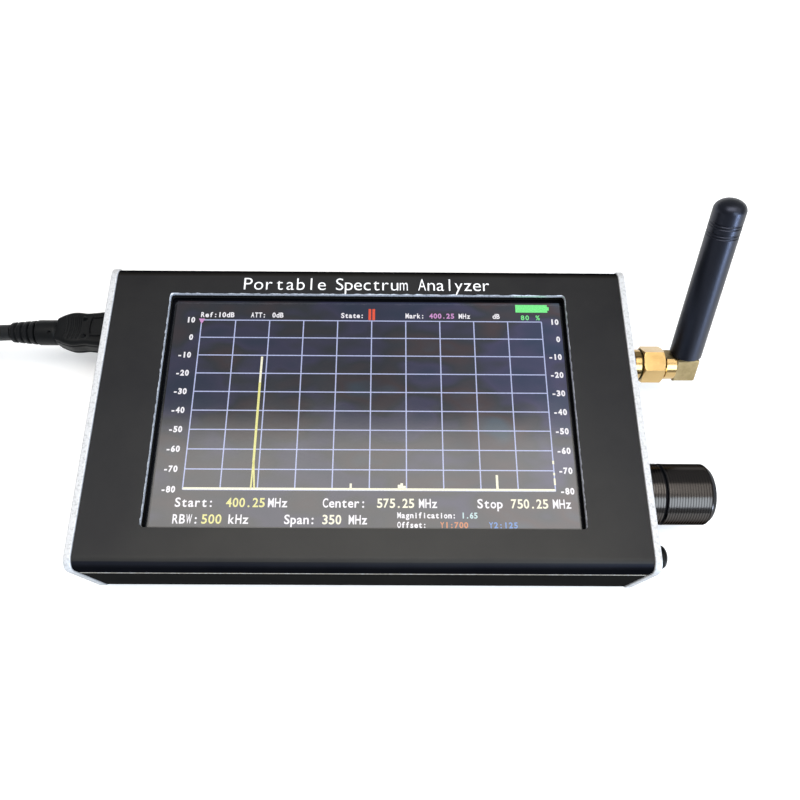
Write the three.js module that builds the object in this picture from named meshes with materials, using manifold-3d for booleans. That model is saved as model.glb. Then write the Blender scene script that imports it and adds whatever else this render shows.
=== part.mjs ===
// Handheld spectrum analyzer: a flat aluminium instrument case with a 4.3 inch screen under a window in
// its cover. A stub aerial, a push-and-turn knob and a run key are on the right end plate. A power switch
// and a charging lead are on the left one.
// Millimetres. +X is to the right, +Y to the back and +Z up. The origin is the centre of the underside.

import * as THREE from 'three';
import { mergeVertices } from 'three/addons/utils/BufferGeometryUtils.js';
import Module from 'manifold-3d';

const wasm = await Module();
wasm.setup();

// ---------------------------------------------------------------------------------------------
// Driving dimensions

const GAP = 0.3; // clearance between pieces that touch, slide or turn in each other

const CASE_LENGTH = 120;
const CASE_DEPTH = 72.3;
const CASE_HEIGHT = 24.3;
const WALL = 1.6;
const COVER_THICKNESS = 2.0;
const EDGE_RADIUS = 2.8; // of the four long edges
const SEAM_Z = 20.9; // middle of the gap between the cover and the lower case
const SEAM_STEP = 0.9; // the lower case's wall is stepped in by this much behind the cover's skirt
const SKIRT = 0.6; // thickness of the cover's skirt
const TONGUE_DROP = 0.3; // the stepped wall ends this far under the cover

const PLATE_THICKNESS = 1.5;
const PLATE_PROUD = 0.3; // the plates stand out past the case at the front, the back and the top
const PLATE_GAP = 0.1;
const PLATE_RADIUS = 3.0;

const WINDOW_LENGTH = 93.5;
const WINDOW_DEPTH = 56.1;
const WINDOW_RADIUS = 1.0;
const SCREEN_Y = 0.5; // the screen and its window sit this far back of the middle

const PORT_Z = 12; // everything in the end plates is on one centre height
const AERIAL_Y = 16.55;
const KNOB_Y = -16.55;
const KEY_Y = -31.05;
const USB_Y = 24.35;
const SWITCH_Y = -5;

const AERIAL_LEAN = 30; // degrees from upright, towards the back

const BOARD_BOTTOM = 8.0;
const BOARD_THICKNESS = 1.6;
const SLOT_RIB = 1.0; // ribs along the walls that hold the main board by its edges
const SLOT_RIB_HEIGHT = 1.1;

const SCREW_Y = 32.4; // the end-plate screws, from the middle
const SCREW_LOW_Z = 3.2;
const SCREW_HIGH_Z = CASE_HEIGHT - SCREW_LOW_Z;
const SCREW_CHANNEL_RADIUS = 1.9;
const SCREW_BORE_RADIUS = 1.25;
const SCREW_SHANK_RADIUS = 0.95;
const SCREW_HEAD_RADIUS = 2.2;
const SCREW_HEAD_HEIGHT = 1.3;

const STANDOFF_X = 47;
const STANDOFF_FRONT_Y = -25;
const STANDOFF_BACK_Y = 26;

const CORD_RADIUS = 2.0;
const COIL_CENTRE = [-140, -1.65];
const COIL_MIDDLE_RADIUS = 22;
const COIL_TURNS_ACROSS = 3;
const COIL_LAYERS = 2;

// ---------------------------------------------------------------------------------------------
// Derived dimensions

const HALF_DEPTH = CASE_DEPTH / 2;
const END_X = CASE_LENGTH / 2;
const PLATE_INNER_X = END_X + PLATE_GAP;
const PLATE_OUTER_X = PLATE_INNER_X + PLATE_THICKNESS;
const COVER_UNDERSIDE = CASE_HEIGHT - COVER_THICKNESS;
const BOARD_TOP = BOARD_BOTTOM + BOARD_THICKNESS;

// ---------------------------------------------------------------------------------------------
// Finishes

function finish(color, roughness, metalness) {
  return new THREE.MeshStandardMaterial({ color, roughness, metalness });
}

const blackAnodised = () => finish(0x2b2c30, 0.45, 0.6);
const bareAluminium = () => finish(0xe4e4e2, 0.4, 0.9);
const turnedBlack = () => finish(0x1d1f24, 0.3, 0.8);
const steel = () => finish(0xa9abad, 0.35, 0.95);
const gold = () => finish(0xe2bd6c, 0.25, 1.0);
const satinGold = () => finish(0xb79f6c, 0.45, 1.0);
const blackRubber = () => finish(0x17181c, 0.6, 0.0);
const blackPlastic = () => finish(0x1f2022, 0.5, 0.0);
const screenGlass = () => finish(0x2d3138, 0.1, 0.0);
const greenBoard = () => finish(0x1f5a34, 0.5, 0.0);
const batteryFoil = () => finish(0x9a9da3, 0.45, 0.3);

// ---------------------------------------------------------------------------------------------
// Geometry helpers

/** A closed mesh as a solid that can be cut and joined. */
function toSolid(geometry) {
  const bare = geometry.clone();
  bare.deleteAttribute('normal');
  bare.deleteAttribute('uv');
  const merged = mergeVertices(bare);
  const vertProperties = new Float32Array(merged.attributes.position.array);
  const triVerts = new Uint32Array(merged.index.array);
  return new wasm.Manifold(new wasm.Mesh({ numProp: 3, vertProperties, triVerts }));
}

function toGeometry(solid) {
  const mesh = solid.getMesh();
  const geometry = new THREE.BufferGeometry();
  geometry.setAttribute('position', new THREE.BufferAttribute(mesh.vertProperties, 3));
  geometry.setIndex(new THREE.BufferAttribute(mesh.triVerts, 1));
  geometry.computeVertexNormals();
  return geometry;
}

function cut(body, ...tools) {
  return toGeometry(tools.map(toSolid).reduce((left, tool) => left.subtract(tool), toSolid(body)));
}

function join(body, ...others) {
  return toGeometry(others.map(toSolid).reduce((sum, other) => sum.add(other), toSolid(body)));
}

function common(body, other) {
  return toGeometry(toSolid(body).intersect(toSolid(other)));
}

/** A box between two corners. */
function block([x0, y0, z0], [x1, y1, z1]) {
  const box = new THREE.BoxGeometry(x1 - x0, y1 - y0, z1 - z0);
  return box.translate((x0 + x1) / 2, (y0 + y1) / 2, (z0 + z1) / 2);
}

/** A section drawn in Y and Z, extruded along X. */
function extrudeAlongX(shape, fromX, toX, curveSegments = 6) {
  const options = { depth: toX - fromX, bevelEnabled: false, curveSegments };
  const turn = new THREE.Matrix4().makeBasis(
    new THREE.Vector3(0, 1, 0),
    new THREE.Vector3(0, 0, 1),
    new THREE.Vector3(1, 0, 0),
  );
  return new THREE.ExtrudeGeometry(shape, options).applyMatrix4(turn).translate(fromX, 0, 0);
}

/** An outline drawn in X and Y, extruded upwards. */
function extrudeUp(shape, fromZ, toZ, curveSegments = 6) {
  const options = { depth: toZ - fromZ, bevelEnabled: false, curveSegments };
  return new THREE.ExtrudeGeometry(shape, options).translate(0, 0, fromZ);
}

/** A profile of [radius, place along the axis], turned about X. Its outside runs towards +X. */
function turnedAboutX(profile, segments = 24) {
  const points = profile.map(([radius, along]) => new THREE.Vector2(radius, along));
  return new THREE.LatheGeometry(points, segments).rotateZ(-Math.PI / 2);
}

/** The same, turned about Z. */
function turnedAboutZ(profile, segments = 24) {
  const points = profile.map(([radius, along]) => new THREE.Vector2(radius, along));
  return new THREE.LatheGeometry(points, segments).rotateX(Math.PI / 2);
}

function rod(radius, fromX, toX, segments = 24) {
  return turnedAboutX([[0, fromX], [radius, fromX], [radius, toX], [0, toX]], segments);
}

function ring(innerRadius, outerRadius, fromX, toX, segments = 24) {
  const profile = [
    [innerRadius, fromX],
    [outerRadius, fromX],
    [outerRadius, toX],
    [innerRadius, toX],
    [innerRadius, fromX],
  ];
  return turnedAboutX(profile, segments);
}

/** A rectangle with round corners about a centre. */
function roundedRectangle(width, height, radius, centreX = 0, centreY = 0) {
  const right = width / 2 - radius;
  const top = height / 2 - radius;
  const quarter = Math.PI / 2;
  const shape = new THREE.Shape();
  shape.moveTo(centreX - right, centreY - height / 2);
  shape.absarc(centreX + right, centreY - top, radius, -quarter, 0);
  shape.absarc(centreX + right, centreY + top, radius, 0, quarter);
  shape.absarc(centreX - right, centreY + top, radius, quarter, 2 * quarter);
  shape.absarc(centreX - right, centreY - top, radius, 2 * quarter, 3 * quarter);
  return shape;
}

function circle(radius, centreX = 0, centreY = 0) {
  const path = new THREE.Path();
  path.absarc(centreX, centreY, radius, 0, 2 * Math.PI, true);
  return path;
}

/** A hexagon with the given width across its flats. One flat faces the angle given, in degrees. */
function hexagon(acrossFlats, flatAt = 90) {
  const corner = acrossFlats / Math.sqrt(3);
  const points = [0, 1, 2, 3, 4, 5].map((i) => {
    const angle = THREE.MathUtils.degToRad(flatAt + 30 + 60 * i);
    return new THREE.Vector2(corner * Math.cos(angle), corner * Math.sin(angle));
  });
  return new THREE.Shape(points);
}

function add(parent, name, geometry, material) {
  const mesh = new THREE.Mesh(geometry, material);
  mesh.name = name;
  parent.add(mesh);
  return mesh;
}

function group(parent, x = 0, y = 0, z = 0) {
  const made = new THREE.Group();
  made.position.set(x, y, z);
  parent.add(made);
  return made;
}

const analyzer = new THREE.Group();

// ---------------------------------------------------------------------------------------------
// Case: two extrusions that lap at the seam, closed by two end plates

/** A screw channel at each corner of one half, for the end-plate screws. */
function withScrewChannels(half, z) {
  const sides = [-SCREW_Y, SCREW_Y];
  const channels = sides.map((y) => rod(SCREW_CHANNEL_RADIUS, -END_X, END_X, 16).translate(0, y, z));
  const bores = sides.map((y) => rod(SCREW_BORE_RADIUS, -END_X - 1, END_X + 1, 16).translate(0, y, z));
  return cut(join(half, ...channels), ...bores);
}

function lowerCase() {
  const inside = HALF_DEPTH - WALL;
  const ribEdge = inside - SLOT_RIB;
  const slotTop = BOARD_TOP + GAP;
  const slotBottom = BOARD_BOTTOM - GAP;
  const wallTop = SEAM_Z - GAP / 2;
  const tongueTop = COVER_UNDERSIDE - TONGUE_DROP;
  const wall = [
    [HALF_DEPTH, wallTop],
    [HALF_DEPTH - SEAM_STEP, wallTop],
    [HALF_DEPTH - SEAM_STEP, tongueTop],
    [inside, tongueTop],
    [inside, slotTop + SLOT_RIB_HEIGHT],
    [ribEdge, slotTop + SLOT_RIB_HEIGHT],
    [ribEdge, slotTop],
    [inside, slotTop],
    [inside, slotBottom],
    [ribEdge, slotBottom],
    [ribEdge, slotBottom - SLOT_RIB_HEIGHT],
    [inside, slotBottom - SLOT_RIB_HEIGHT],
    [inside, WALL],
  ];
  const section = new THREE.Shape();
  section.moveTo(-HALF_DEPTH + EDGE_RADIUS, 0);
  section.absarc(HALF_DEPTH - EDGE_RADIUS, EDGE_RADIUS, EDGE_RADIUS, -Math.PI / 2, 0);
  wall.forEach(([y, z]) => section.lineTo(y, z));
  wall.reverse().forEach(([y, z]) => section.lineTo(-y, z));
  section.absarc(-HALF_DEPTH + EDGE_RADIUS, EDGE_RADIUS, EDGE_RADIUS, Math.PI, 1.5 * Math.PI);
  const tray = withScrewChannels(extrudeAlongX(section, -END_X, END_X), SCREW_LOW_Z);
  // The ribs are milled away at the front right corner, where the run key's switch sits.
  const keyClearance = block([END_X - 9, -inside, PORT_Z - 6], [END_X + 1, -inside + 4, PORT_Z + 4]);
  return cut(tray, keyClearance);
}

function topCover() {
  const skirtFoot = SEAM_Z + GAP / 2;
  const shoulder = CASE_HEIGHT - EDGE_RADIUS;
  const section = new THREE.Shape();
  section.moveTo(HALF_DEPTH, skirtFoot);
  section.absarc(HALF_DEPTH - EDGE_RADIUS, shoulder, EDGE_RADIUS, 0, Math.PI / 2);
  section.absarc(-HALF_DEPTH + EDGE_RADIUS, shoulder, EDGE_RADIUS, Math.PI / 2, Math.PI);
  section.lineTo(-HALF_DEPTH, skirtFoot);
  section.lineTo(-HALF_DEPTH + SKIRT, skirtFoot);
  section.lineTo(-HALF_DEPTH + SKIRT, COVER_UNDERSIDE);
  section.lineTo(HALF_DEPTH - SKIRT, COVER_UNDERSIDE);
  section.lineTo(HALF_DEPTH - SKIRT, skirtFoot);
  const cover = withScrewChannels(extrudeAlongX(section, -END_X, END_X), SCREW_HIGH_Z);
  const opening = roundedRectangle(WINDOW_LENGTH, WINDOW_DEPTH, WINDOW_RADIUS, 0, SCREEN_Y);
  return cut(cover, extrudeUp(opening, COVER_UNDERSIDE - 1, CASE_HEIGHT + 1, 4));
}

/** One end plate. Its outer face looks along +X, and ports are the holes besides the four screws. */
function endPlate(ports) {
  const width = CASE_DEPTH + 2 * PLATE_PROUD;
  const height = CASE_HEIGHT + PLATE_PROUD;
  const outline = roundedRectangle(width, height, PLATE_RADIUS, 0, height / 2);
  outline.holes.push(...ports);
  const flat = extrudeAlongX(outline, PLATE_INNER_X, PLATE_OUTER_X);
  const clear = SCREW_SHANK_RADIUS + GAP;
  const countersink = [
    [0, PLATE_INNER_X - 1],
    [clear, PLATE_INNER_X - 1],
    [clear, PLATE_OUTER_X - SCREW_HEAD_HEIGHT],
    [SCREW_HEAD_RADIUS + GAP, PLATE_OUTER_X],
    [SCREW_HEAD_RADIUS + GAP, PLATE_OUTER_X + 1],
    [0, PLATE_OUTER_X + 1],
  ];
  return cut(flat, ...screwPlaces().map(([y, z]) => turnedAboutX(countersink, 16).translate(0, y, z)));
}

function screwPlaces() {
  return [-SCREW_Y, SCREW_Y].flatMap((y) => [SCREW_LOW_Z, SCREW_HIGH_Z].map((z) => [y, z]));
}

/** A countersunk screw along X, with the face of its head at x = 0 and a driver recess in it. */
function plateScrew() {
  const profile = [
    [0, -8],
    [SCREW_SHANK_RADIUS, -8],
    [SCREW_SHANK_RADIUS, -SCREW_HEAD_HEIGHT],
    [SCREW_HEAD_RADIUS, -0.1],
    [SCREW_HEAD_RADIUS, 0],
    [1.1, 0],
    [0, -0.9],
  ];
  return turnedAboutX(profile, 16);
}

/** The right plate's holes, in its own Y and Z: aerial jack, encoder bushing and run key. */
function rightPorts() {
  return [circle(3.35, AERIAL_Y, PORT_Z), circle(3.8, KNOB_Y, PORT_Z), circle(2.9, KEY_Y, PORT_Z)];
}

/** The left plate's holes. That plate is turned half a turn about Z, so Y is reversed. */
function leftPorts() {
  const socketMouth = roundedRectangle(7.2, 3.6, 0.5, -USB_Y, PORT_Z);
  const leverSlot = roundedRectangle(4.8, 2.8, 0.4, -SWITCH_Y - 1, PORT_Z);
  return [socketMouth, leverSlot];
}

add(analyzer, 'lower_case', lowerCase(), blackAnodised());
add(analyzer, 'top_cover', topCover(), blackAnodised());
for (const [side, turn, ports] of [['right', 0, rightPorts()], ['left', Math.PI, leftPorts()]]) {
  const end = group(analyzer);
  end.rotation.z = turn;
  add(end, `end_plate_${side}`, endPlate(ports), bareAluminium());
  screwPlaces().forEach(([y, z], i) => {
    const screw = add(end, `plate_screw_${side}_${i + 1}`, plateScrew(), steel());
    screw.position.set(PLATE_OUTER_X - 0.05, y, z);
  });
}

// ---------------------------------------------------------------------------------------------
// Screen: glass in a pressed steel frame, on its own board

const SCREEN_GLASS_TOP = 21.9;
const SCREEN_FRAME_BOTTOM = 18.5;
const SCREEN_BOARD_BOTTOM = 17.2;

function screenFrame() {
  const tray = block([-52, -29.7, SCREEN_FRAME_BOTTOM], [52, 29.7, 21.5]);
  return cut(tray, block([-49, -29.1, 20.2], [49, 29.1, 22.5]));
}

const screen = group(analyzer, 0, SCREEN_Y, 0);
add(screen, 'screen_frame', screenFrame(), steel());
add(screen, 'screen_glass', block([-48.7, -28.8, 20.5], [48.7, 28.8, SCREEN_GLASS_TOP]), screenGlass());
add(screen, 'screen_board', block([-52, -29, SCREEN_BOARD_BOTTOM], [52, 29, 18.2]), greenBoard());

// ---------------------------------------------------------------------------------------------
// Main board, with what stands on it

const STANDOFFS = [-STANDOFF_X, STANDOFF_X].flatMap((x) =>
  [STANDOFF_FRONT_Y, STANDOFF_BACK_Y].map((y) => [x, y]),
);

function mainBoard() {
  const outline = new THREE.Shape();
  const edge = HALF_DEPTH - WALL - GAP;
  [[-59.4, -edge], [52.4, -edge], [52.4, edge], [-59.4, edge]].forEach(([x, y], i) =>
    i ? outline.lineTo(x, y) : outline.moveTo(x, y),
  );
  outline.holes.push(...STANDOFFS.map(([x, y]) => circle(1.5, x, y)));
  return extrudeUp(outline, BOARD_BOTTOM, BOARD_TOP, 3);
}

function standoff() {
  const outline = hexagon(4);
  outline.holes.push(circle(1.5));
  return extrudeUp(outline, BOARD_TOP + GAP, SCREEN_BOARD_BOTTOM - GAP, 3);
}

/** A pan-head screw from under the board, up into a standoff. */
function boardScrew() {
  const headTop = BOARD_BOTTOM - 0.2;
  const profile = [
    [0, headTop - 1.1],
    [0.6, headTop - 1.5],
    [1.7, headTop - 1.5],
    [2.3, headTop - 1.0],
    [2.3, headTop],
    [1.2, headTop],
    [1.2, BOARD_TOP + 4],
    [0, BOARD_TOP + 4],
  ];
  return turnedAboutZ(profile, 12);
}

/** A battery pouch with its two long edges rounded. */
function battery() {
  const section = roundedRectangle(38, 5.4, 2.2, 1, BOARD_TOP + 0.8 + 2.7);
  return extrudeAlongX(section, -40, 14, 4);
}

const electronics = group(analyzer);
add(electronics, 'main_board', mainBoard(), greenBoard());
STANDOFFS.forEach(([x, y], i) => {
  add(electronics, `standoff_${i + 1}`, standoff(), gold()).position.set(x, y, 0);
  add(electronics, `board_screw_${i + 1}`, boardScrew(), steel()).position.set(x, y, 0);
});
const partFoot = BOARD_TOP + 0.2;
add(electronics, 'processor', block([21, -11, partFoot], [35, 3, partFoot + 1.4]), blackPlastic());
add(electronics, 'shield_can', block([20, 6, partFoot], [43, 22, partFoot + 3.2]), steel());
add(electronics, 'battery', battery(), batteryFoil());

// ---------------------------------------------------------------------------------------------
// Aerial port: the jack in the end plate with its washer and nut

/** A hexagonal nut along X with turned chamfers on both ends, before its hole is cut. */
function hexBar(acrossFlats, fromX, toX, flatAt) {
  const corner = acrossFlats / Math.sqrt(3);
  const flat = acrossFlats / 2;
  const slope = (corner - flat) * 0.9;
  const turned = [
    [0, fromX],
    [flat, fromX],
    [corner + 0.05, fromX + slope],
    [corner + 0.05, toX - slope],
    [flat, toX],
    [0, toX],
  ];
  return common(extrudeAlongX(hexagon(acrossFlats, flatAt), fromX, toX), turnedAboutX(turned, 36));
}

const JACK_THREAD_RADIUS = 3.05;
const JACK_END_X = 69.2;

const jackProfile = [
  [0, 52.8],
  [3.1, 52.8],
  [3.1, 58.3],
  [4.4, 58.3],
  [4.4, 59.8],
  [JACK_THREAD_RADIUS, 59.8],
  [JACK_THREAD_RADIUS, JACK_END_X],
  [2.3, JACK_END_X],
  [2.3, JACK_END_X - 2],
  [0, JACK_END_X - 2],
];

const port = group(analyzer, 0, AERIAL_Y, PORT_Z);
const threadClear = JACK_THREAD_RADIUS + GAP;
add(port, 'aerial_jack', turnedAboutX(jackProfile), gold());
add(port, 'aerial_jack_washer', ring(threadClear, 4.7, 61.9, 62.4), gold());
const panelNut = cut(hexBar(8, 62.7, 64.5, 90), rod(threadClear, 62, 66));
add(port, 'aerial_jack_nut', panelNut, gold());

// ---------------------------------------------------------------------------------------------
// Aerial: coupling nut, right-angle elbow and rubber sleeve

const NUT_START_X = 65;
const NUT_HEX_X = 67;
const NUT_END_X = 72.3;
const NUT_SHELF_X = 70.3; // the wide bore ends here, and a narrow one goes on round the elbow's neck
const NECK_RADIUS = 2.15;

/** The nut has a plain round end towards the case, a hexagon 8 mm across, and a stepped bore. */
function couplingNut() {
  const collar = [
    [0, NUT_START_X],
    [3.5, NUT_START_X],
    [3.7, NUT_START_X + 0.2],
    [3.7, NUT_HEX_X + 0.5],
    [0, NUT_HEX_X + 0.5],
  ];
  const body = join(hexBar(7.9, NUT_HEX_X, NUT_END_X, 104.6), turnedAboutX(collar));
  const wide = rod(threadClear, NUT_START_X - 1, NUT_SHELF_X);
  const narrow = rod(NECK_RADIUS + GAP, NUT_SHELF_X - 0.5, NUT_END_X + 1);
  return cut(body, wide, narrow);
}

const NECK_COLLAR_RADIUS = 3.6;
const ELBOW_START_X = 75.1;
const ELBOW_END_X = 80.6;
const ELBOW_HALF_WIDTH = 2.75;
const ELBOW_FOOT = -3.1;
const ELBOW_TOP = 3.0;
const ELBOW_BEVEL = 0.4;
const SLEEVE_X = 77.7;
const SLEEVE_FOOT_RADIUS = 3.72;
const SLEEVE_SHOULDER_RADIUS = 3.5;
const SLEEVE_START = ELBOW_TOP + GAP;
const SLEEVE_SHOULDER = 40.1;
const SLEEVE_DOME = 2.4;
const SLEEVE_BORE_RADIUS = 2.9;
const SLEEVE_BORE_END = 9;

/** The elbow's block stands in the aerial's own frame, with the sleeve's axis along local Z. */
function elbow() {
  const face = new THREE.Shape();
  face.moveTo(ELBOW_START_X, ELBOW_FOOT);
  face.lineTo(ELBOW_END_X - ELBOW_BEVEL, ELBOW_FOOT);
  face.lineTo(ELBOW_END_X, ELBOW_FOOT + ELBOW_BEVEL);
  face.lineTo(ELBOW_END_X, ELBOW_TOP - ELBOW_BEVEL);
  face.lineTo(ELBOW_END_X - ELBOW_BEVEL, ELBOW_TOP);
  face.lineTo(ELBOW_START_X, ELBOW_TOP);
  const options = { depth: 2 * ELBOW_HALF_WIDTH, bevelEnabled: false };
  const cube = new THREE.ExtrudeGeometry(face, options);
  cube.rotateX(Math.PI / 2).translate(0, ELBOW_HALF_WIDTH, 0);
  const neck = turnedAboutX([
    [0, JACK_END_X + GAP],
    [3.0, JACK_END_X + GAP],
    [3.0, NUT_SHELF_X - GAP],
    [NECK_RADIUS, NUT_SHELF_X - GAP],
    [NECK_RADIUS, NUT_END_X + GAP],
    [NECK_COLLAR_RADIUS, NUT_END_X + GAP],
    [NECK_COLLAR_RADIUS, ELBOW_START_X],
    [2.6, ELBOW_START_X],
    [2.6, ELBOW_START_X + 1],
    [0, ELBOW_START_X + 1],
  ]);
  const armRadius = SLEEVE_BORE_RADIUS - GAP;
  const arm = turnedAboutZ([
    [0, 0],
    [armRadius, 0],
    [armRadius, SLEEVE_BORE_END - GAP],
    [0, SLEEVE_BORE_END - GAP],
  ]);
  // The neck's collar is milled flat under the sleeve.
  const flat = block([NUT_END_X, -5, ELBOW_TOP], [ELBOW_START_X + 0.5, 5, ELBOW_TOP + 2]);
  return join(cube, cut(neck, flat), arm.translate(SLEEVE_X, 0, 0));
}

function sleeve() {
  const dome = [15, 30, 45, 60, 75, 90].map((degrees) => {
    const angle = THREE.MathUtils.degToRad(degrees);
    const radius = SLEEVE_SHOULDER_RADIUS * Math.cos(angle);
    return [radius, SLEEVE_SHOULDER + SLEEVE_DOME * Math.sin(angle)];
  });
  dome[dome.length - 1][0] = 0;
  const profile = [
    [0, SLEEVE_BORE_END],
    [SLEEVE_BORE_RADIUS, SLEEVE_BORE_END],
    [SLEEVE_BORE_RADIUS, SLEEVE_START],
    [SLEEVE_FOOT_RADIUS, SLEEVE_START],
    [SLEEVE_SHOULDER_RADIUS, SLEEVE_SHOULDER],
    ...dome,
  ];
  return turnedAboutZ(profile);
}

add(port, 'coupling_nut', couplingNut(), gold());
const aerial = group(port);
aerial.rotation.x = -THREE.MathUtils.degToRad(AERIAL_LEAN);
add(aerial, 'aerial_elbow', elbow(), satinGold());
add(aerial, 'aerial_sleeve', sleeve(), blackRubber()).position.x = SLEEVE_X;

// ---------------------------------------------------------------------------------------------
// Encoder and knob

const SHAFT_RADIUS = 3.0;
const SHAFT_BORE_RADIUS = 3.1;
const BUSHING_RADIUS = 3.5;
const BUSHING_END_X = 65;
const PLUNGER_RADIUS = 4.0;
const KNOB_START_X = 62.4;
const KNOB_END_X = 78.2;
const KNOB_RADIUS = 7.05;
const KNOB_GROOVE_X = 66.8;
const KNOB_RECESS_RADIUS = 6.3;
const KNOB_RECESS_END_X = 65.8;
const KNOB_BORE_END_X = 75.6;
const SET_SCREW_X = 72;
const SET_SCREW_RADIUS = 1.3;
const FLAT_START_X = 68.5; // the shaft is D-shaped from here on
const FLAT_DEPTH = 0.6;

function encoderBody() {
  const box = block([53.1, -6.1, -5.6], [58.5, 6.1, 5.9]);
  return cut(box, rod(PLUNGER_RADIUS + GAP, 54.3, 59));
}

function bushing() {
  const profile = [
    [SHAFT_BORE_RADIUS, 58.8],
    [5.6, 58.8],
    [5.6, 59.8],
    [BUSHING_RADIUS, 59.8],
    [BUSHING_RADIUS, BUSHING_END_X],
    [SHAFT_BORE_RADIUS, BUSHING_END_X],
    [SHAFT_BORE_RADIUS, 58.8],
  ];
  return turnedAboutX(profile, 32);
}

function shaft() {
  const end = KNOB_BORE_END_X - GAP;
  const flat = block([FLAT_START_X, -4, -4], [end + 1, 4, -SHAFT_RADIUS + FLAT_DEPTH]);
  return cut(rod(SHAFT_RADIUS, 56.8, end, 32), flat);
}

function knob() {
  const profile = [
    [0, KNOB_BORE_END_X],
    [SHAFT_RADIUS + 0.2, KNOB_BORE_END_X],
    [SHAFT_RADIUS + 0.2, KNOB_RECESS_END_X],
    [KNOB_RECESS_RADIUS, KNOB_RECESS_END_X],
    [KNOB_RECESS_RADIUS, KNOB_START_X],
    [KNOB_RADIUS - 0.3, KNOB_START_X],
    [KNOB_RADIUS, KNOB_START_X + 0.3],
    [KNOB_RADIUS, KNOB_GROOVE_X - 0.3],
    [KNOB_RADIUS - 0.6, KNOB_GROOVE_X - 0.2],
    [KNOB_RADIUS - 0.6, KNOB_GROOVE_X + 0.2],
    [KNOB_RADIUS, KNOB_GROOVE_X + 0.5],
    [KNOB_RADIUS, KNOB_END_X - 1.1],
    [KNOB_RADIUS - 0.9, KNOB_END_X],
    [0, KNOB_END_X],
  ];
  const hole = turnedAboutZ([[0, -9], [1.6, -9], [1.6, 0], [0, 0]], 16).translate(SET_SCREW_X, 0, 0);
  return cut(turnedAboutX(profile, 48), hole);
}

function setScrew() {
  const profile = [
    [0, -6.1],
    [0.75, -6.1],
    [0.75, -6.9],
    [SET_SCREW_RADIUS, -6.9],
    [SET_SCREW_RADIUS, -SHAFT_RADIUS + FLAT_DEPTH - GAP],
    [0, -SHAFT_RADIUS + FLAT_DEPTH - GAP],
  ];
  return turnedAboutZ(profile, 16);
}

const encoder = group(analyzer, 0, KNOB_Y, PORT_Z);
add(encoder, 'encoder_body', encoderBody(), blackPlastic());
add(encoder, 'encoder_bushing', bushing(), steel());
add(encoder, 'encoder_washer', ring(BUSHING_RADIUS + GAP, 5.4, 61.9, 62.4), steel());
add(encoder, 'encoder_nut', cut(hexBar(10, 62.7, 64.2, 90), rod(BUSHING_RADIUS + GAP, 62, 66)), steel());
add(encoder, 'encoder_plunger', rod(PLUNGER_RADIUS, 55.3, 56.5), blackPlastic());
add(encoder, 'encoder_shaft', shaft(), steel());
add(encoder, 'knob', knob(), turnedBlack());
add(encoder, 'knob_set_screw', setScrew(), steel()).position.x = SET_SCREW_X;

// ---------------------------------------------------------------------------------------------
// Run key: a long-stroke cap in front of a push switch

const KEY_RADIUS = 2.6;
const KEY_SHOULDER_X = 65.9;
const KEY_TIP_X = 67.2;

function keySwitch() {
  const nub = rod(1.4, 57, 57.9, 16);
  return join(block([53.7, -2.9, -3], [57.4, 3, 3]), nub);
}

function keyCap() {
  const rise = KEY_TIP_X - KEY_SHOULDER_X;
  const dome = [0, 22.5, 45, 67.5, 90].map((degrees) => {
    const angle = THREE.MathUtils.degToRad(degrees);
    return [KEY_RADIUS * Math.cos(angle), KEY_SHOULDER_X + rise * Math.sin(angle)];
  });
  dome[dome.length - 1][0] = 0;
  const profile = [
    [0, 58.7],
    [3.2, 58.7],
    [3.2, 59.7],
    [KEY_RADIUS, 59.7],
    ...dome,
  ];
  return turnedAboutX(profile);
}

const key = group(analyzer, 0, KEY_Y, PORT_Z);
add(key, 'key_switch', keySwitch(), blackPlastic());
add(key, 'key_cap', keyCap(), blackPlastic());

// ---------------------------------------------------------------------------------------------
// Power switch behind the left plate

function switchLever() {
  const flange = block([-59.8, -2, -1.8], [-59.5, 2, 1.8]);
  return join(flange, block([-63.3, -1.1, -1.1], [-59.6, 1.1, 1.1]));
}

const power = group(analyzer, 0, SWITCH_Y, PORT_Z);
add(power, 'power_switch_body', block([-59.2, -3.3, -2.0], [-55.2, 5.3, 2.4]), blackPlastic());
add(power, 'power_switch_lever', switchLever(), blackPlastic());

// ---------------------------------------------------------------------------------------------
// Charging socket and the lead's small plug, on one axis along X

const PLUG_FACE_X = -61.9;
const PLUG_END_X = -77.5;
const RELIEF_END_X = -89;
const PLUG_HALF_HEIGHT = 3.1;

function usbSocket() {
  const shell = block([-59.7, -3.85, -2.0], [-51.2, 3.85, 2.0]);
  return cut(shell, block([-61, -3.5, -1.7], [-52.4, 3.5, 1.7]));
}

/** The moulding's outline has a waist for the fingers, a bulge behind it, and a taper to the relief. */
function plugMoulding() {
  const edge = [
    [PLUG_FACE_X, 4.6],
    [-66, 4.7],
    [-68.5, 4.45],
    [-70.2, 4.3],
    [-72, 4.5],
    [-73.5, 4.5],
    [-75.2, 4.0],
    [PLUG_END_X, 3.2],
  ];
  const outline = new THREE.Shape();
  edge.forEach(([x, y], i) => (i ? outline.lineTo(x, y) : outline.moveTo(x, y)));
  [...edge].reverse().forEach(([x, y]) => outline.lineTo(x, -y));
  const slab = extrudeUp(outline, -PLUG_HALF_HEIGHT, PLUG_HALF_HEIGHT);
  const rounded = extrudeAlongX(roundedRectangle(9.5, 2 * PLUG_HALF_HEIGHT, 1.6), -78, -61, 3);
  return common(slab, rounded);
}

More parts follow.
